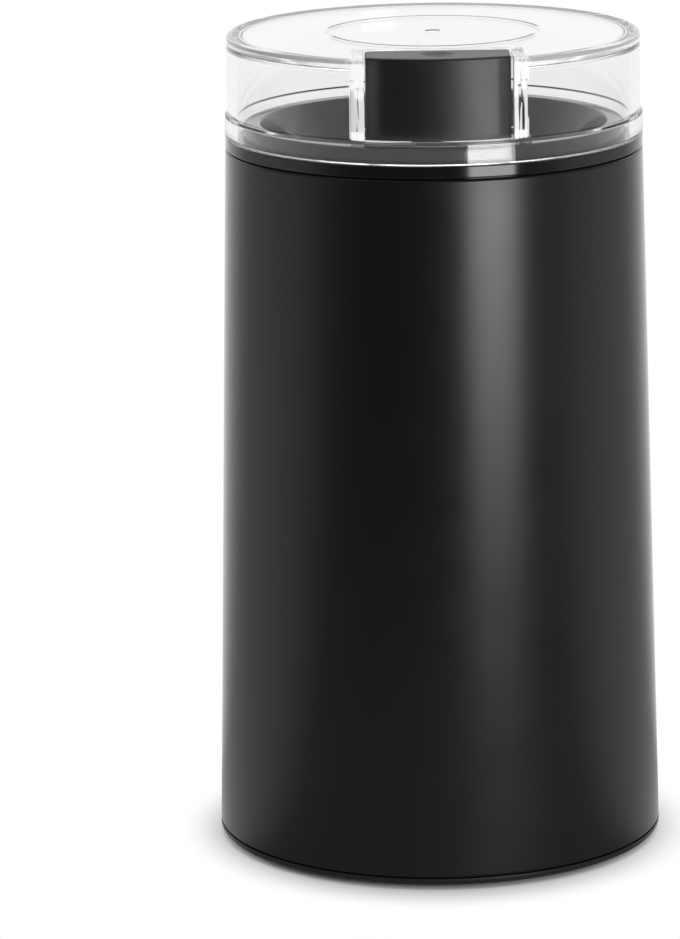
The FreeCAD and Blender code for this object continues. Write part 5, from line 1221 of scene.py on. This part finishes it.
@dataclass
class BladeSet:
    """Bent blade with ground edges, and the nut that holds it."""

    low: float = 109.65 * MM
    thick: float = 1.5 * MM
    reach: float = 28.25 * MM
    bend: float = 9.5 * MM
    slope: float = 9.4 * MM
    rise: float = 5.0 * MM
    fall: float = 2.6 * MM
    half: float = 5.5 * MM
    tip: float = 3.25 * MM
    bore: float = 2.5 * MM
    ground: float = 2.0 * MM
    burr: float = 0.15 * MM
    nut: float = 4.0 * MM
    nut_height: float = 4.0 * MM

    def strip(self) -> Mesh:
        """Six-sided section carried from tip to tip.

        The middle line rises by a smooth step s * s * (3 - 2 s) over the slope of each arm. The
        section's front edge runs in at the tip, and its upper face falls to a thin ground edge there.
        """
        x = np.linspace(-self.reach, self.reach, 121)
        a = np.abs(x)
        s = np.clip((a - self.bend) / self.slope, 0, 1)
        level = self.low + np.where(x > 0, self.rise, -self.fall) * s * s * (3 - 2 * s)
        lead = np.interp(
            a, [self.bend, self.reach - self.tip, self.reach], [-self.half, -self.tip, self.tip / 3],
        )
        back = np.interp(a, [self.bend, self.reach], [self.half, self.tip / 2])
        sharp = np.clip((a - self.bend) / (3 * MM), 0, 1)
        keen = self.thick - self.burr - (self.thick - 3 * self.burr) * sharp
        run = np.minimum(self.burr + self.ground * sharp, (back - lead) * 0.6)
        right = x >= 0
        near, far = np.where(right, lead, -back), np.where(right, back, -lead)
        plain = np.full(len(x), self.thick - self.burr)
        slim = np.minimum(self.burr, (back - lead) * 0.2)
        rows = [
            (near, 0 * x), (far, 0 * x), (far, np.where(right, plain, keen)),
            (far - np.where(right, slim, run), plain + self.burr),
            (near + np.where(right, run, slim), plain + self.burr), (near, np.where(right, keen, plain)),
        ]
        return stacked(np.stack([np.column_stack([x, y, level + z]) for y, z in rows], axis=1))

    def hexagon(self) -> Mesh:
        """Nut: a hexagon at four heights, drawn in at the top and the bottom."""
        corner = self.nut / math.cos(math.pi / 6)
        low = self.low + self.thick
        ring = arc((0, 0), corner, 0, 300, 6)
        steps = ((0.94, 0.0), (1.0, 0.35 * MM), (1.0, self.nut_height - 0.5 * MM), (0.88, self.nut_height))
        return stacked(np.stack([np.column_stack([ring * k, np.full(6, low + z)]) for k, z in steps]))

    def build(self, dresser: Dresser) -> None:
        """Makes blade and nut and dresses them."""
        blade = new_object("cutting_blade", self.strip())
        bore = peg((0, 0), self.bore, self.low - self.thick, self.low + 2 * self.thick)
        carved(blade, [(Carve.CUT, bore)])
        shaded(blade, 20)
        dresser.piece(blade, "rotor", "blade_steel", "blade")
        nut = new_object("nut", self.hexagon())
        bore = peg((0, 0), self.bore, self.low, self.low + 2 * self.nut_height)
        carved(nut, [(Carve.CUT, bore)])
        shaded(nut, 20)
        dresser.piece(nut, "rotor", "blade_steel", "blade_nut")


# ---------------------------------------------------------------- studio


@dataclass
class Studio:
    """Floor, world, lamps and the camera of the picture."""

    camera_place: Rgb = (-0.03062, -1.03218, 0.3194)
    pitch: float = 13.1926
    yaw: float = 0.5769
    roll: float = -0.7844
    focal: float = 194.574
    floor_rings: tuple[float, ...] = (0.0, 0.06, 0.12, 0.25, 0.5, 1.0, 2.0, 4.0)
    floor_colour: Rgb = (0.90, 0.90, 0.895)
    world_colour: Rgb = (1.0, 0.995, 0.99)
    world_light: float = 0.62
    shadow_span: Pair = (0.045, 0.060)
    shadow_stretch: Rgb = (1.08, 1.0, 1.0)
    close_span: Pair = (0.50, 0.12)
    close_shine: float = 0.20
    world_shine: tuple[Pair, ...] = (
        (0.0, 0.0), (0.11, 0.0), (0.19, 0.09), (0.29, 0.21), (0.41, 0.26), (0.60, 0.25),
        (0.70, 0.29), (0.79, 0.48), (0.87, 0.93), (1.0, 1.0),
    )
    floor_shine: tuple[Pair, ...] = (
        (0.0, 0.0), (0.10, 0.0), (0.19, 0.08), (0.285, 0.26), (0.405, 0.56), (0.55, 0.60),
        (0.665, 0.54), (0.79, 0.50), (0.875, 0.76), (0.96, 1.0), (1.0, 1.0),
    )
    strip_bearing: float = 29.0
    strip_distance: float = 0.65
    strip_height: float = 0.150
    strip_size: Pair = (0.29, 0.28)
    strip_brightness: float = 8.0
    overhead_place: Rgb = (0.0, 0.25, 1.3)
    overhead_aim: Rgb = (0, 0, 0.1)
    overhead_size: Pair = (1.0, 1.0)
    overhead_power: float = 6.0

    def camera(self) -> None:
        """Camera from its place, pitch, yaw and roll: it looks along -Z of its own axes."""
        pitch, yaw, roll = (math.radians(a) for a in (self.pitch, self.yaw, self.roll))
        ahead = Vector((
            math.sin(yaw) * math.cos(pitch), math.cos(yaw) * math.cos(pitch), -math.sin(pitch),
        ))
        right = ahead.cross(Vector((0, 0, 1))).normalized()
        up = right.cross(ahead)
        side = right * math.cos(roll) + up * math.sin(roll)
        top = up * math.cos(roll) - right * math.sin(roll)
        data = bpy.data.cameras.new("camera")
        data.lens, data.sensor_width, data.sensor_fit = self.focal, 36.0, "AUTO"
        data.clip_start, data.clip_end = 0.01, 50.0
        camera = bpy.data.objects.new("camera", data)
        camera.matrix_world = Matrix((
            (side.x, top.x, -ahead.x, self.camera_place[0]),
            (side.y, top.y, -ahead.y, self.camera_place[1]),
            (side.z, top.z, -ahead.z, self.camera_place[2]),
            (0, 0, 0, 1),
        ))
        bpy.context.scene.collection.objects.link(camera)
        bpy.context.scene.camera = camera

    def graded(self, tree: Tree, value: Value,
               stops: tuple[Pair, ...]) -> Socket:
        """Grey that follows a value between -1, in front, and 1, behind.

        Args:
            tree: The nodes to add to.
            value: The value.
            stops: Places from 0 to 1 along that span, each with its grey.

        Returns:
            The grey's output.
        """
        span = node(tree, "MapRange", {"Value": value, "From Min": -1.0}).outputs[0]
        ramp = node(tree, "ValToRGB", {"Fac": span})
        marks = ramp.color_ramp.elements
        marks[0].position, marks[1].position = stops[0][0], stops[-1][0]
        for position, _ in stops[1:-1]:
            marks.new(position)
        for mark, (_, grey) in zip(marks, stops):
            mark.color = (grey, grey, grey, 1)
        return ramp.outputs["Color"]

    def paper(self) -> bpy.types.Material:
        """Pale paper that takes the object's shadow, white far away, and dim in gloss to the front."""
        material = bpy.data.materials.new("floor_paper")
        material.use_nodes = True
        tree = material.node_tree
        tree.nodes.clear()
        place = node(tree, "TexCoord").outputs["Object"]
        path = node(tree, "LightPath").outputs
        paper = node(tree, "BsdfDiffuse", {"Color": (*self.floor_colour, 1)}).outputs[0]
        white = node(tree, "Emission").outputs[0]
        far = eased(tree, length_of(tree, place, self.shadow_stretch), self.shadow_span)
        length = length_of(tree, place)
        bearing = joined(tree, "DIVIDE", node(tree, "SeparateXYZ", {0: place}).outputs["Y"], length)
        strength = joined(
            tree, "MAXIMUM", self.graded(tree, bearing, self.floor_shine),
            eased(tree, length, self.close_span, (0.0, self.close_shine)),
        )
        shine = node(tree, "Emission", {"Strength": strength}).outputs[0]
        mirrored = node(tree, "Math", {
            0: path["Is Glossy Ray"], 1: path["Is Transmission Ray"],
        }, operation="SUBTRACT", use_clamp=True).outputs[0]
        gloss = mixed(tree, mirrored, mixed(tree, far, paper, white), shine)
        node(tree, "OutputMaterial", {"Surface": mixed(tree, path["Is Diffuse Ray"], gloss, paper)})
        return material

    def floor(self) -> None:
        """Disc: rings of 96 points at growing radii, joined by quads."""
        turn = np.arange(96) * TAU / 96
        reach = np.array(self.floor_rings)[:, None]
        grid = np.stack([reach * np.cos(turn), reach * np.sin(turn), 0 * reach * turn], axis=-1)
        data = bpy.data.meshes.new("floor")
        data.from_pydata(grid.reshape(-1, 3).tolist(), [], grid_faces(len(reach), 96, False, True))
        data.materials.append(self.paper())
        floor = bpy.data.objects.new("floor", data)
        bpy.context.scene.collection.objects.link(floor)

    def world(self) -> None:
        """White to the camera and through clear pieces; in gloss, bright behind and dim in front."""
        world = bpy.data.worlds.new("studio")
        bpy.context.scene.world = world
        world.use_nodes = True
        tree = world.node_tree
        tree.nodes.clear()
        path = node(tree, "LightPath").outputs
        way = node(tree, "SeparateXYZ", {0: node(tree, "TexCoord").outputs["Generated"]}).outputs["Y"]
        gloss = node(tree, "Background", {"Color": self.graded(tree, way, self.world_shine)}).outputs[0]
        white = node(tree, "Background", {"Color": (1, 1, 1, 1)}).outputs[0]
        soft = node(tree, "Background", {
            "Color": (*self.world_colour, 1), "Strength": self.world_light,
        }).outputs[0]
        seen = joined(tree, "MAXIMUM", path["Is Camera Ray"], path["Is Transmission Ray"])
        lit = mixed(tree, path["Is Glossy Ray"], soft, gloss)
        node(tree, "OutputWorld", {"Surface": mixed(tree, seen, lit, white)})

    def lamp(self, name: str, place: Rgb, aim: Rgb, size: tuple[float, float], power: float) -> None:
        """Rectangular soft lamp.

        Args:
            name: Name of the lamp.
            place: Where it stands.
            aim: What it points at.
            size: Width and height.
            power: Watts.
        """
        data = bpy.data.lights.new(name, "AREA")
        data.shape = "RECTANGLE"
        data.size, data.size_y = size
        data.energy = power
        lamp = bpy.data.objects.new(name, data)
        lamp.location = place
        lamp.rotation_euler = (Vector(aim) - Vector(place)).to_track_quat("-Z", "Y").to_euler()
        lamp.visible_camera = False
        bpy.context.scene.collection.objects.link(lamp)

    def build(self) -> None:
        """Sets up the whole studio."""
        self.camera()
        self.floor()
        self.world()
        bearing, height = math.radians(self.strip_bearing), self.strip_height
        width, tall = self.strip_size
        self.lamp(
            "strip",
            (self.strip_distance * math.sin(bearing), -self.strip_distance * math.cos(bearing), height),
            (0, 0, height), self.strip_size, self.strip_brightness * math.pi * width * tall,
        )
        self.lamp(
            "overhead", self.overhead_place, self.overhead_aim, self.overhead_size, self.overhead_power,
        )
        bpy.context.scene.view_settings.view_transform = "Standard"


def main() -> None:
    """Builds the grinder piece by piece, then the studio."""
    logging.basicConfig(level=logging.INFO, format="%(name)s: %(message)s")
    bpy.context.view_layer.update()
    dresser = Dresser()
    cone = OuterCone()
    assemblies = (
        Housing(cone), BaseCover(cone), Feet(), CoverScrews(), TopRing(cone), Lid(cone),
        PushButton(), Bowl(), BladeSet(),
    )
    for assembly in assemblies:
        assembly.build(dresser)
    slots = {part["node"]: part["material_slot"] for part in frame["record"]["subparts"]}
    dresser.carried(slots, frame["nodes"])
    Studio().build()


if __name__ == "__main__":
    main()
